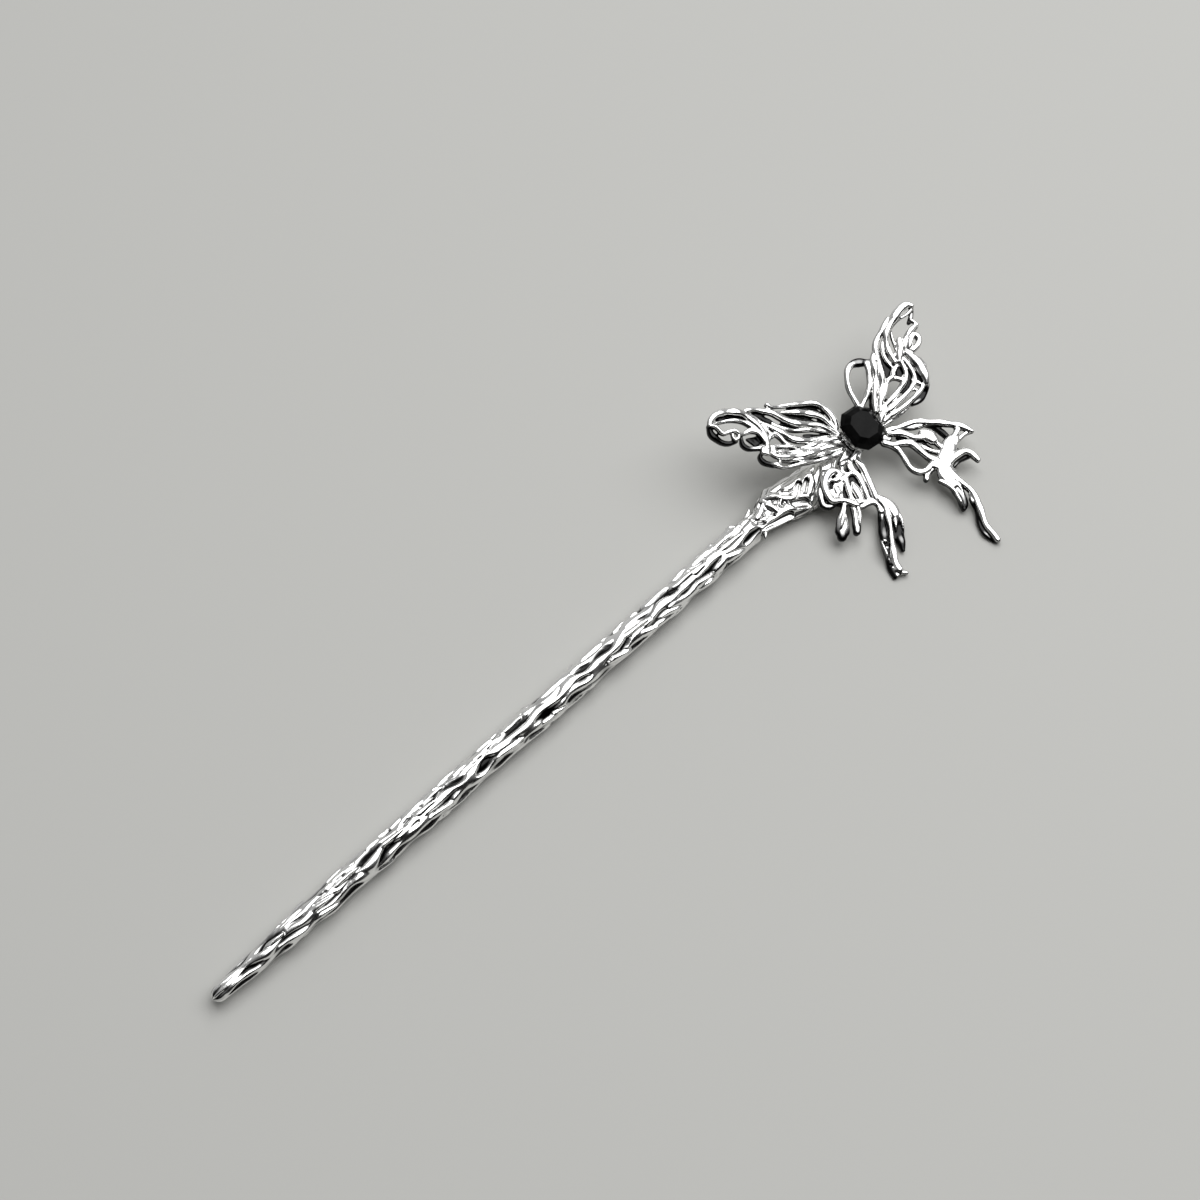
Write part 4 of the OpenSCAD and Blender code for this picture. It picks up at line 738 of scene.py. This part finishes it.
def build_wing(name):
    heading, rise, turns, across, strands, webs, sheets = WINGS[name]
    pieces = []

    def add(verts, faces):
        pieces.append((wing_to_pin(verts, heading, rise), faces))

    def placed(pixels, height=0):
        return np.round(on_wing(pixels, heading, rise, height), PICK_DECIMALS)

    def sized(pixels, lengths, least):
        size = pixel_size(pixels, heading, rise)
        return np.maximum(np.round(lengths * size, PICK_DECIMALS), least)

    for k, (height, gain, points) in enumerate(strands):
        pixels = [p[:2] for p in points]
        halves = gain + np.array([p[2] for p in points])
        levels = [height - sum(p[3:]) for p in points]
        least = LEAST_GROWN if gain else LEAST_PLAIN
        path = smooth_path(np.column_stack([placed(pixels, height), levels,
                                            sized(pixels, halves, least)]), STRAND_STEP)
        steps = np.linalg.norm(np.diff(path[:, :3], axis=0), axis=1)
        run = np.concatenate([[0], np.cumsum(steps)])
        path[:, 3] *= 1 + swing(run, k, *WIDTH_SWING)
        path[:, 2] += swing(run, k, *HEIGHT_SWING)
        add(*skin(tube(path)))
    for height, radius, pixels in webs:
        beads = zip(placed(pixels, height), sized(pixels, radius, LEAST_BEAD))
        add(*hull_of(np.concatenate([ball_points((*xy, height), r) for xy, r in beads])))
    for pixels in sheets:
        add(*prism(placed(pixels), SHEET_LOW, SHEET_TOP))
    corners = [[TAB_REACH * math.cos(t) + TAB_ROUND * math.cos(a),
                TAB_REACH * math.sin(t) + TAB_ROUND * math.sin(a), z]
               for t in np.radians(turns) for a in np.radians(range(0, 360, 30))
               for z in (PLATE_TOP, PLATE_TOP + TAB_HEIGHT)]
    reach, level, radius = TAB_EDGE
    edge = np.concatenate([ball_points((reach, v, level), radius) for v in across])
    pieces.append(hull_of(np.concatenate([corners, wing_to_pin(edge, heading, rise)])))
    mesh = fused(pieces, name + "_metal")
    move_to(mesh, worked(evened(mesh, WING_ROUNDS), mesh))
    co, _ = mesh_arrays(mesh)
    plane = wing_to_pin([[0, 0, 0], [0, 0, 1]], heading, rise)
    height = (co - plane[0]) @ (plane[1] - plane[0])
    # Low places that face up, such as sunken webs and sheets, get painted shade.
    low = np.clip((LOW_FROM - height) / LOW_SPAN, 0, 1) * (normals(mesh)[:, 2] > LOW_FACING)
    set_painted_shade(mesh, painted_groove_and_wall_shade(mesh, WING_GROOVE) + LOW_SHADE * low)
    move_to(mesh, clear_of_table(laid(co), WING_EASED))
    show(mesh, name + "_metal", name, polished)


for name in WINGS:
    build_wing(name)

# Shaft, from its tip to the neck
PIN_LENGTH = 150.0
NECK_REACH = 26.5
BLUNT_D, POINT_START_D, POINT_LENGTH = 2.6, 4.5, 26.0
SHAFT_LENGTH = PIN_LENGTH - NECK_REACH
TENON_D, TENON_LENGTH = 2.4, 8.0
SHAFT_SIDES, SHAFT_ROWS = 104, 860
TIP_DEGREES = np.array([8, 20, 35, 50, 65, 78])
END_RADIUS, END_SLOPE = 2.2, 0.55
RAGGED, RAGGED_WAVES = 1.1, ((0.5, 4, 30), (0.35, 9, 80))  # size, count and turn of each wave
BARK_STRANDS, BARK_DEPTH, BARK_FLOOR = 8, 0.55, 0.5
BARK_POWER = 3.6
LOWEST = -9.0  # a height under all others
# Swings along the shaft, as a size and the lengths of the waves in mm
CENTRE_SWING = (13, (7.3, 11.4, 17.5))
STRAND_HALF, HALF_SWING = 20, (6, (5, 8.6))
LIFT_SWING = (0.15, (7, 11))
LINE_SWING, LINE_HALF = (0.4, (9, 15)), 0.13
LINE_DEPTH, LINE_MEAN, LINE_FADE = 0.07, 0.5, (0.5, (6, 10))
WAVE_STRETCH = (0.85, 1.2)
# Pointed flakes whose free ends stand off towards the head: start, length, turn, twist,
# half-width and height. The others are drawn at random, half of them near one turn.
BOLD_FLAKES = [
    (116.4, 4.4, 24, 2, 0.85, 0.95), (112.3, 3.4, 20, 2, 0.75, 0.8), (105, 3.6, 16, 3, 0.65, 0.65),
    (97, 3.8, 18, 3, 0.7, 0.65), (89.6, 4, 16, 3, 0.65, 0.6), (113.9, 5.1, 124, 24, 0.9, 0.5),
    (98.6, 4.6, 132, 20, 0.8, 0.45), (93, 4.6, 130, 22, 0.8, 0.45), (86, 4.8, 128, 22, 0.8, 0.45)]
FLAKES, FLAKES_NEAR = 120, (10, 28)
FLAKES_FROM, FLAKES_TO, FLAKE_LENGTHS = 10, SHAFT_LENGTH - 2, (3.4, 6.6)
FLAKE_TWIST, FLAKE_WIDTHS, FLAKE_HEIGHTS = 9, (0.5, 0.8), (0.22, 0.48)
FLAKE_SHARES = (-0.1, 1.02)  # of its length, over which a flake is seen
FLAKE_WIDEN, FLAKE_NARROW, FLAKE_TAPER = (3, 0.35), 1.12, 0.6
FLAKE_CLIMB, FLAKE_LIP = 0.8, 7
FLAKE_ROOT = 0.28  # depth at which its sides go under
CRACK_DEPTH, CRACK_AT, CRACK_HALF, CRACK_END = 0.3, 1.25, 0.35, 1.1
# A patch of fine combed lines near the head
FRINGE_AT, FRINGE_TURN = PIN_LENGTH - 35.5, 164
FRINGE_REACH, FRINGE_SPREAD = 3.6, 12
FRINGE_DEPTH, FRINGE_PITCH, FRINGE_SLANT = 0.22, 0.85, 0.05


def shaft_radius(d):
    """Radius of the smooth shaft at a distance from its tip."""
    rise = np.sin(np.radians(90 * np.minimum(d, POINT_LENGTH) / POINT_LENGTH))
    point = BLUNT_D / 2 + (POINT_START_D - BLUNT_D) / 2 * rise
    share = np.clip((d - POINT_LENGTH) / (SHAFT_LENGTH - POINT_LENGTH), 0, 1)
    return point + (SHAFT_D - POINT_START_D) / 2 * share


def wave(x, size, lengths):
    """A slow random swing along the shaft."""
    out = 0
    for length in lengths:
        cycles = x / (length * draw.uniform(*WAVE_STRETCH)) + draw.rand()
        out = out + size / len(lengths) ** 0.5 * np.sin(2 * math.pi * cycles)
    return out


def softened(top, times):
    """Heights after rounds of averaging with their neighbours, round the shaft and along it."""
    for _ in range(times):
        top = (np.roll(top, 1, 1) + 2 * top + np.roll(top, -1, 1)) / 4
        top[1:-1] = (top[:-2] + 2 * top[1:-1] + top[2:]) / 4
    return top


def all_flakes():
    flakes = list(BOLD_FLAKES)
    for _ in range(FLAKES):
        turns = [draw.normal(*FLAKES_NEAR), draw.uniform(0, 360)]
        turn = draw.choice(turns, p=[0.5, 0.5])
        start, length = draw.uniform(FLAKES_FROM, FLAKES_TO), draw.uniform(*FLAKE_LENGTHS)
        half, height = draw.uniform(*FLAKE_WIDTHS), draw.uniform(*FLAKE_HEIGHTS)
        flakes.append((start, length, turn, FLAKE_TWIST, half, height))
    return flakes


def with_flake(top, turn, x, start, length, turn0, twist, wide, high):
    """Heights with one more flake, and a crack beside it."""
    share = (x - start) / length
    off = turn_gap(turn, turn0 + twist * share) * math.pi / 180 * SHAFT_D / 2
    half = wide * np.clip(FLAKE_NARROW - share, 0, 1) ** FLAKE_TAPER
    half = half * np.clip(share * FLAKE_WIDEN[0] + FLAKE_WIDEN[1], 0, 1)
    dome = np.sqrt(np.clip(1 - (off / np.maximum(half, 0.01)) ** 4, 0, 1))
    climb = np.clip(share, 0, 1)
    rise = high * climb ** FLAKE_CLIMB * (1 - climb ** FLAKE_LIP)
    flake = (rise + FLAKE_ROOT) * dome - FLAKE_ROOT
    beside = np.abs(np.abs(off) / np.maximum(half, 0.2) - CRACK_AT)
    crack = np.clip(1 - beside / CRACK_HALF, 0, 1) * np.clip(4 * share, 0, 1) * (share < CRACK_END)
    inside = (share > FLAKE_SHARES[0]) & (share < FLAKE_SHARES[1]) & (dome > 0)
    return np.where(inside, np.maximum(top, flake),
                    np.maximum(top - CRACK_DEPTH * crack, -BARK_FLOOR))


def bark(turn, x):
    """Height in mm of the bark over its crests: strands that meet and part, under flakes."""
    top = np.full(np.broadcast(turn, x).shape, LOWEST)
    for k in range(BARK_STRANDS):
        centre = 360 / BARK_STRANDS * k + wave(x, *CENTRE_SWING)
        half = STRAND_HALF + wave(x, *HALF_SWING)
        lift = wave(x, *LIFT_SWING)
        t = turn_gap(turn, centre) / half
        dome = np.sqrt(np.clip(1 - np.abs(t) ** BARK_POWER, 0, 1)) - 1
        line = LINE_DEPTH * np.exp(-((t - wave(x, *LINE_SWING)) / LINE_HALF) ** 2)
        line = np.maximum(line * (LINE_MEAN + wave(x, *LINE_FADE)), 0)
        top = np.maximum(top, np.where(np.abs(t) < 1, lift + BARK_DEPTH * dome - line, LOWEST))
    top = softened(np.maximum(top, -BARK_FLOOR), 2)
    for flake in all_flakes():
        top = with_flake(top, turn, x, *flake)
    top = softened(top, 1)
    fringe = np.clip(1 - np.abs(x - FRINGE_AT) / FRINGE_REACH, 0, 1)
    fringe = fringe * np.exp(-(turn_gap(turn, FRINGE_TURN) / FRINGE_SPREAD) ** 2)
    comb = np.sin(2 * math.pi * x / FRINGE_PITCH + FRINGE_SLANT * turn)
    return top + FRINGE_DEPTH * fringe * comb


def build_shaft():
    turn = np.linspace(0, 360, SHAFT_SIDES, endpoint=False)[None, :]
    tip = np.radians(TIP_DEGREES)
    d_tip = BLUNT_D / 2 * (1 - np.cos(tip))
    d_body = np.linspace(BLUNT_D / 2, SHAFT_LENGTH, SHAFT_ROWS)
    d = np.concatenate([d_tip, d_body])[:, None]
    r = shaft_radius(d) * np.concatenate([np.sin(tip), np.ones(len(d_body))])[:, None]
    height = bark(turn, d)
    radius = r + np.minimum(1, r / (POINT_START_D / 2)) * height
    ragged = RAGGED + sum(size * np.sin(np.radians(count * turn + shift))
                          for size, count, shift in RAGGED_WAVES)
    radius = np.minimum(radius, END_RADIUS + END_SLOPE * np.clip((SHAFT_LENGTH - d) / ragged, 0, 9))
    tenon = [on_ring(x, turn, TENON_D / 2) for x in (-NECK_REACH, TENON_LENGTH - NECK_REACH)]
    verts, faces = skin(np.concatenate([on_ring(d - PIN_LENGTH, turn, radius), *tenon]))
    mesh = new_mesh("shaft_bark", clear_of_table(laid(verts), PIN_EASED), faces)
    # Pits in the bark get painted shade: the deeper the pit, the darker it is.
    deep = np.clip(-height / BARK_FLOOR, 0, 1).ravel()
    set_painted_shade(mesh, np.concatenate([deep, np.zeros(len(verts) - len(deep))]))
    show(mesh, "shaft_bark", "pin_shaft", pin_silver)


build_shaft()

# Neck, from the shaft to the paddle under the stone
NECK_END = 3.1
NECK_LENGTH = NECK_REACH - NECK_END
NECK_WIDTH, WAIST, WAIST_SHARE = 8.2, 2.2, 0.07
NECK_ROWS, NECK_SIDES = 300, 240
PADDLE_D, PADDLE_TOP, PADDLE_FLOOR, PADDLE_BEVEL = 5.4, 1.7, -0.1, 0.12
TONGUE = 4.4
RIVET_HOLE = [(1.18, PADDLE_FLOOR - 0.2), (1.18, PADDLE_FLOOR),
              (0.78, PADDLE_FLOOR + 0.4), (0.78, PADDLE_TOP + 0.2)]
SOCKET = [(1.25, -NECK_REACH - 0.6), (1.25, -NECK_REACH + 8.3)]
# Outline of its two sides, half height and rise, as shares of the neck's length and width or mm
HEAD_SHARES = [[0.15, 0.354], [0.235, 0.41], [0.29, 0.488], [0.376, 0.44], [0.5, 0.378],
               [0.6, 0.34], [0.83, 0.32]]
TAIL_SHARES = [[0.165, 0.36], [0.255, 0.427], [0.333, 0.512], [0.415, 0.59], [0.49, 0.62],
               [0.6, 0.6], [0.7, 0.5], [0.83, 0.39]]
HALF_HEIGHT = [[0, 2.2], [0.3, 2.45], [0.45, 2.303], [0.6, 2.058], [0.8, 1.35], [1, 0.846]]
RISE = [[0, 0], [0.6, 0], [1, 0.8]]
# Ridges and pits as [half-width, height, points of [along the pin, turn in degrees]]
NECK_LINES = [
    [0.42, 0.42, [[-22,34],[-21,50],[-20,72],[-19.1,90],[-18,102],[-16.8,110],[-15.4,117]]],
    [0.4, 0.3, [[-20.6,48],[-18.5,44],[-16.8,46],[-15.1,48],[-13.5,54],[-11.5,58]]],
    [0.5, 0.3, [[-25.4,70],[-24.2,60],[-22.8,44],[-21.4,26],[-20.5,14]]],
    [0.46, 0.36, [[-26,128],[-23.9,120],[-22.4,123],[-21.2,120],[-19.8,122],[-18.6,128],
      [-17.4,136]]],
    [0.46, 0.32, [[-25,162],[-21.9,154],[-19.9,153],[-18.6,150],[-17,146],[-15.4,136],[-13.6,126]]],
    [0.38, 0.42, [[-16.6,114],[-15.8,100],[-14.2,88],[-12.6,79],[-12,86],[-12.7,100],[-14.6,113],
      [-16.6,114]]],
    [0.42, 0.26, [[-14.2,126],[-12.6,114],[-11,98],[-9.8,82]]],
    [0.42, 0.26, [[-17.6,68],[-15.8,70],[-13.8,68],[-12,68],[-10.4,66]]],
    [0.36, 0.26, [[-22.4,62],[-22,80],[-21.8,96],[-21.8,110]]],
    [0.36, -0.42, [[-18.9,74],[-17.8,84]]],
    [0.3, -0.45, [[-17.2,99],[-16.3,93],[-14.9,83]]],
    [0.2, -0.4, [[-15.4,106],[-14.4,98],[-13.3,90]]],
    [0.42, -0.42, [[-18.4,116],[-17.2,122],[-16.2,129]]],
    [0.44, -0.5, [[-25.8,140],[-23.7,138],[-22.5,137],[-21.3,138],[-20,140]]],
    [0.34, -0.45, [[-26,98],[-25.2,110]]],
    [0.26, -0.38, [[-23,84],[-22.8,92]]],
    [0.26, -0.4, [[-23.2,102],[-22.7,107]]],
    [0.24, -0.3, [[-20.5,78],[-20.9,84]]],
    [0.3, -0.35, [[-24.2,44],[-23,40]]]]
COIL_X, COIL_TURN, COIL_R, COIL_PITCH, COIL_LEAD = -20.0, 101.0, 0.95, 0.72, 0.1
COIL_SQUEEZE, COIL_WOBBLE = 1.25, 0.12
COIL_MARGIN, COIL_FADE = 0.3, 0.12
COIL_LEVEL, COIL_HEIGHT, COIL_EYE_DEPTH, COIL_EYE_R = 0.12, 0.24, 0.4, 0.28
NUGGETS, NUGGET_STRETCH, NUGGET_GAP = 84, 1.5, 0.3
NUGGET_LEVEL, NUGGET_GROOVE, NUGGET_FALL = -0.02, 0.3, 0.08
# How lines are set in: what is kept, reach, where they meet the form, power, and no line
RIDGE = (np.maximum, 1.7, 1.5, 2, LOWEST)
PIT = (np.minimum, 1.5, 1.4, 4, -LOWEST)
RELIEF_END, RELIEF_FADE = 1.05, 0.35
NECK_TURN_MM = math.pi / 180 * 2.6  # over its surface for a degree of turn
# Burrs: place, turn and radius of the root and of the tip, and half-width
BURRS = [((-25.3, 168, 1.9), (-26.5, 166, 3.1), 0.5),
         ((-26.4, 2, 1.9), (-24.4, 4, 3.1), 0.62),
         ((-22.9, 352, 2.4), (-21.4, 350, 3.5), 0.55)]
BURR_STEP, BURR_SIDES, BURR_SHARES = 0.15, 12, (1, 0.62, 0.16)


def line_distance(x, turn, points):
    """Distance over the neck's surface, in mm, from each place to a line."""
    best = np.full(x.shape, 1e9)
    for (x0, t0), (x1, t1) in zip(points[:-1], points[1:]):
        px, pt = x - x0, turn_gap(turn, t0) * NECK_TURN_MM
        vx, vt = x1 - x0, (t1 - t0) * NECK_TURN_MM
        share = np.clip((px * vx + pt * vt) / (vx * vx + vt * vt), 0, 1)
        best = np.minimum(best, np.hypot(px - share * vx, pt - share * vt))
    return best


def nuggets(x, turn):
    """Heights of a random field of nuggets with grooves between them."""
    places = draw.uniform(-NECK_REACH, -NECK_END, NUGGETS), draw.uniform(0, 360, NUGGETS)
    first = np.full(x.shape, 1e9)
    second = first.copy()
    for sx, st in zip(*places):
        gap = np.hypot((x - sx) / NUGGET_STRETCH, turn_gap(turn, st) * NECK_TURN_MM)
        second = np.minimum(second, np.maximum(first, gap))
        first = np.minimum(first, gap)
    groove = np.exp(-((second - first) / NUGGET_GAP) ** 2)
    return NUGGET_LEVEL - NUGGET_GROOVE * groove - NUGGET_FALL * first


def with_coil(height, x, turn):
    """Heights with a coiled ridge in a round patch."""
    dx, dt = x - COIL_X, turn_gap(turn, COIL_TURN) * NECK_TURN_MM
    angle = np.arctan2(dt, dx)
    d = np.hypot(dx, COIL_SQUEEZE * dt) * (1 + COIL_WOBBLE * np.sin(3 * angle + 1))
    patch = 1 / (1 + np.exp((d - COIL_R - COIL_MARGIN) / COIL_FADE))
    ridge = np.cos(2 * math.pi * (d - COIL_LEAD * angle - COIL_R) / COIL_PITCH)
    eye = np.exp(-(d / COIL_EYE_R) ** 2)
    coil = COIL_LEVEL + COIL_HEIGHT * ridge - COIL_EYE_DEPTH * eye
    return height * (1 - patch) + coil * patch


def neck_relief(x, turn):
    """Height of the nuggety casting over its smooth form, in mm."""
    height = with_coil(nuggets(x, turn), x, turn)
    for half, rise, points in NECK_LINES:
        d = line_distance(x, turn, points) / half
        keep, reach, level, power, none = RIDGE if rise > 0 else PIT
        height = keep(height, np.where(d < reach, rise * (1 - (d / level) ** power), none))
    return height


def table(s, rows):
    """Values at s between the rows of a table."""
    return np.interp(s, *np.transpose(rows))


def burr(root, tip, half):
    """A burr that tapers from its root to its tip."""
    root, tip = on_ring(*root), on_ring(*tip)
    places = root, root * 0.5 + tip * 0.5, tip
    path = [[*place, half * share] for place, share in zip(places, BURR_SHARES)]
    return skin(tube(smooth_path(path, BURR_STEP), BURR_SIDES))


def build_neck():
    s, turn = np.broadcast_arrays(np.linspace(0, 1, NECK_ROWS)[:, None],
                                  np.linspace(0, 360, NECK_SIDES, endpoint=False)[None, :])
    x = s * NECK_LENGTH - NECK_REACH
    cos, sin = np.cos(np.radians(turn)), np.sin(np.radians(turn))
    half = TONGUE / 2

    def side(shares):
        middle = [[a, b * NECK_WIDTH] for a, b in shares]
        return table(s, [[0, WAIST], [WAIST_SHARE, WAIST], *middle, [1, half]])

    across = np.where(cos > 0, side(HEAD_SHARES), side(TAIL_SHARES))
    height = neck_relief(x, turn) * np.clip((RELIEF_END - s) / RELIEF_FADE, 0, 1)
    upward = table(s, RISE) + (table(s, HALF_HEIGHT) + height) * sin
    rim, inner = PADDLE_D / 2, PADDLE_D / 2 - PADDLE_BEVEL
    paddle = [(inner, PADDLE_FLOOR), (rim, PADDLE_FLOOR + PADDLE_BEVEL),
              (rim, PADDLE_TOP - PADDLE_BEVEL), (inner, PADDLE_TOP)]
    start = -NECK_END - 1
    tongue = [(start, -half), (0, -half), (0, half), (start, half)]
    pieces = [skin(np.stack([x, (across + height) * cos, upward], -1)), lathe(paddle),
              prism(tongue, PADDLE_FLOOR, PADDLE_TOP), *(burr(*one) for one in BURRS)]
    mesh = fused(pieces, "neck_casting")
    move_to(mesh, evened(mesh, NECK_ROUNDS))
    mesh = cut(mesh, *lathe(RIVET_HOLE))
    hole, faces = lathe(SOCKET)
    mesh = cut(mesh, hole[:, [2, 0, 1]], faces)
    mesh.name = "neck_casting"
    # The neck's grooves and walls get painted shade.
    set_painted_shade(mesh, painted_groove_and_wall_shade(mesh, NECK_GROOVE))
    co, _ = mesh_arrays(mesh)
    move_to(mesh, clear_of_table(laid(co), PIN_EASED))
    show(mesh, "neck_casting", "neck", pin_silver)


build_neck()

# The pieces that show as they were drawn
glass = varied("black_glass", (grey(0.002), grey(0.007)), 0, (0.03, 0.09), 500)
set_inputs(glass.node_tree.nodes["Principled BSDF"], IOR=1.52, Specular_IOR_Level=0.06)
resin = varied("clear_resin", ((0.55, 0.53, 0.47), (0.68, 0.66, 0.6)), 0, (0.12, 0.3), 400)
cast = varied("cast_silver", ((0.7, 0.7, 0.69), (0.92, 0.92, 0.91)), 1, (0.16, 0.32), 350)
turned = varied("turned_steel", (grey(0.5), (0.62, 0.62, 0.61)), 1, (0.22, 0.4), 500, (1, 6, 1))
FINISH = {"stone": glass, "stone_adhesive": resin, "stone_cup": cast, "base_plate": cast,
          "hub_rivet": turned}
for name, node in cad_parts.items():
    if name in FINISH:
        node.data.materials.clear()
        node.data.materials.append(FINISH[name])

# Floor
FLOOR_HALF = 3
corners = [(-1, -1, 0), (1, -1, 0), (1, 1, 0), (-1, 1, 0)]
floor_mesh = new_mesh("floor", np.multiply(corners, FLOOR_HALF), [(0, 1, 2, 3)])
floor = new_object("floor", floor_mesh)
floor_mat, _, _, shader = new_material("pale_floor")
set_inputs(shader, Base_Color=(0.5, 0.5, 0.48, 1), Roughness=0.7)
floor_mesh.materials.append(floor_mat)

# Light: a studio that is paler on one side, and one softbox overhead
PALE_SIDE = (0.62, 0.78, 0)
KEY_PLACE, KEY_SIZE, KEY_WATTS = (0.42, 0.0, 1.0), (1.35, 1.1), 14.5
world = bpy.data.worlds.new("studio")
bpy.context.scene.world = world
world.use_nodes = True
nodes, links = world.node_tree.nodes, world.node_tree.links
background = set_inputs(nodes["Background"], Strength=0.8)
place = new_node(nodes, "TexCoord")
along = new_node(nodes, "VectorMath")
along.operation = "DOT_PRODUCT"
along.inputs[1].default_value = PALE_SIDE
side = new_node(nodes, "MapRange", From_Min=-0.6, From_Max=0.9)
ramp = new_ramp(nodes, (0, 1), (grey(0.015), grey(0.6)))
wire(links, (place, "Generated", along, 0), (along, "Value", side, "Value"),
     (side, "Result", ramp, "Fac"), (ramp, "Color", background, "Color"))


def look_at(obj, place, target):
    """Puts a lamp or a camera at a place, facing a target."""
    obj.location = place
    obj.rotation_euler = (Vector(target) - obj.location).to_track_quat("-Z", "Y").to_euler()


key = bpy.data.lights.new("key", "AREA")
key.shape = "RECTANGLE"
key.size, key.size_y = KEY_SIZE
key.energy = KEY_WATTS
look_at(new_object("key", key), KEY_PLACE, (0, 0, 0))

# Camera
camera_data = bpy.data.cameras.new("camera")
camera_data.sensor_fit = "HORIZONTAL"
camera_data.angle = math.radians(CAMERA_DEGREES)
camera = new_object("camera", camera_data)
look_at(camera, CAMERA_PLACE, CAMERA_AIM)
bpy.context.scene.camera = camera

bpy.context.scene.view_settings.view_transform = "Standard"
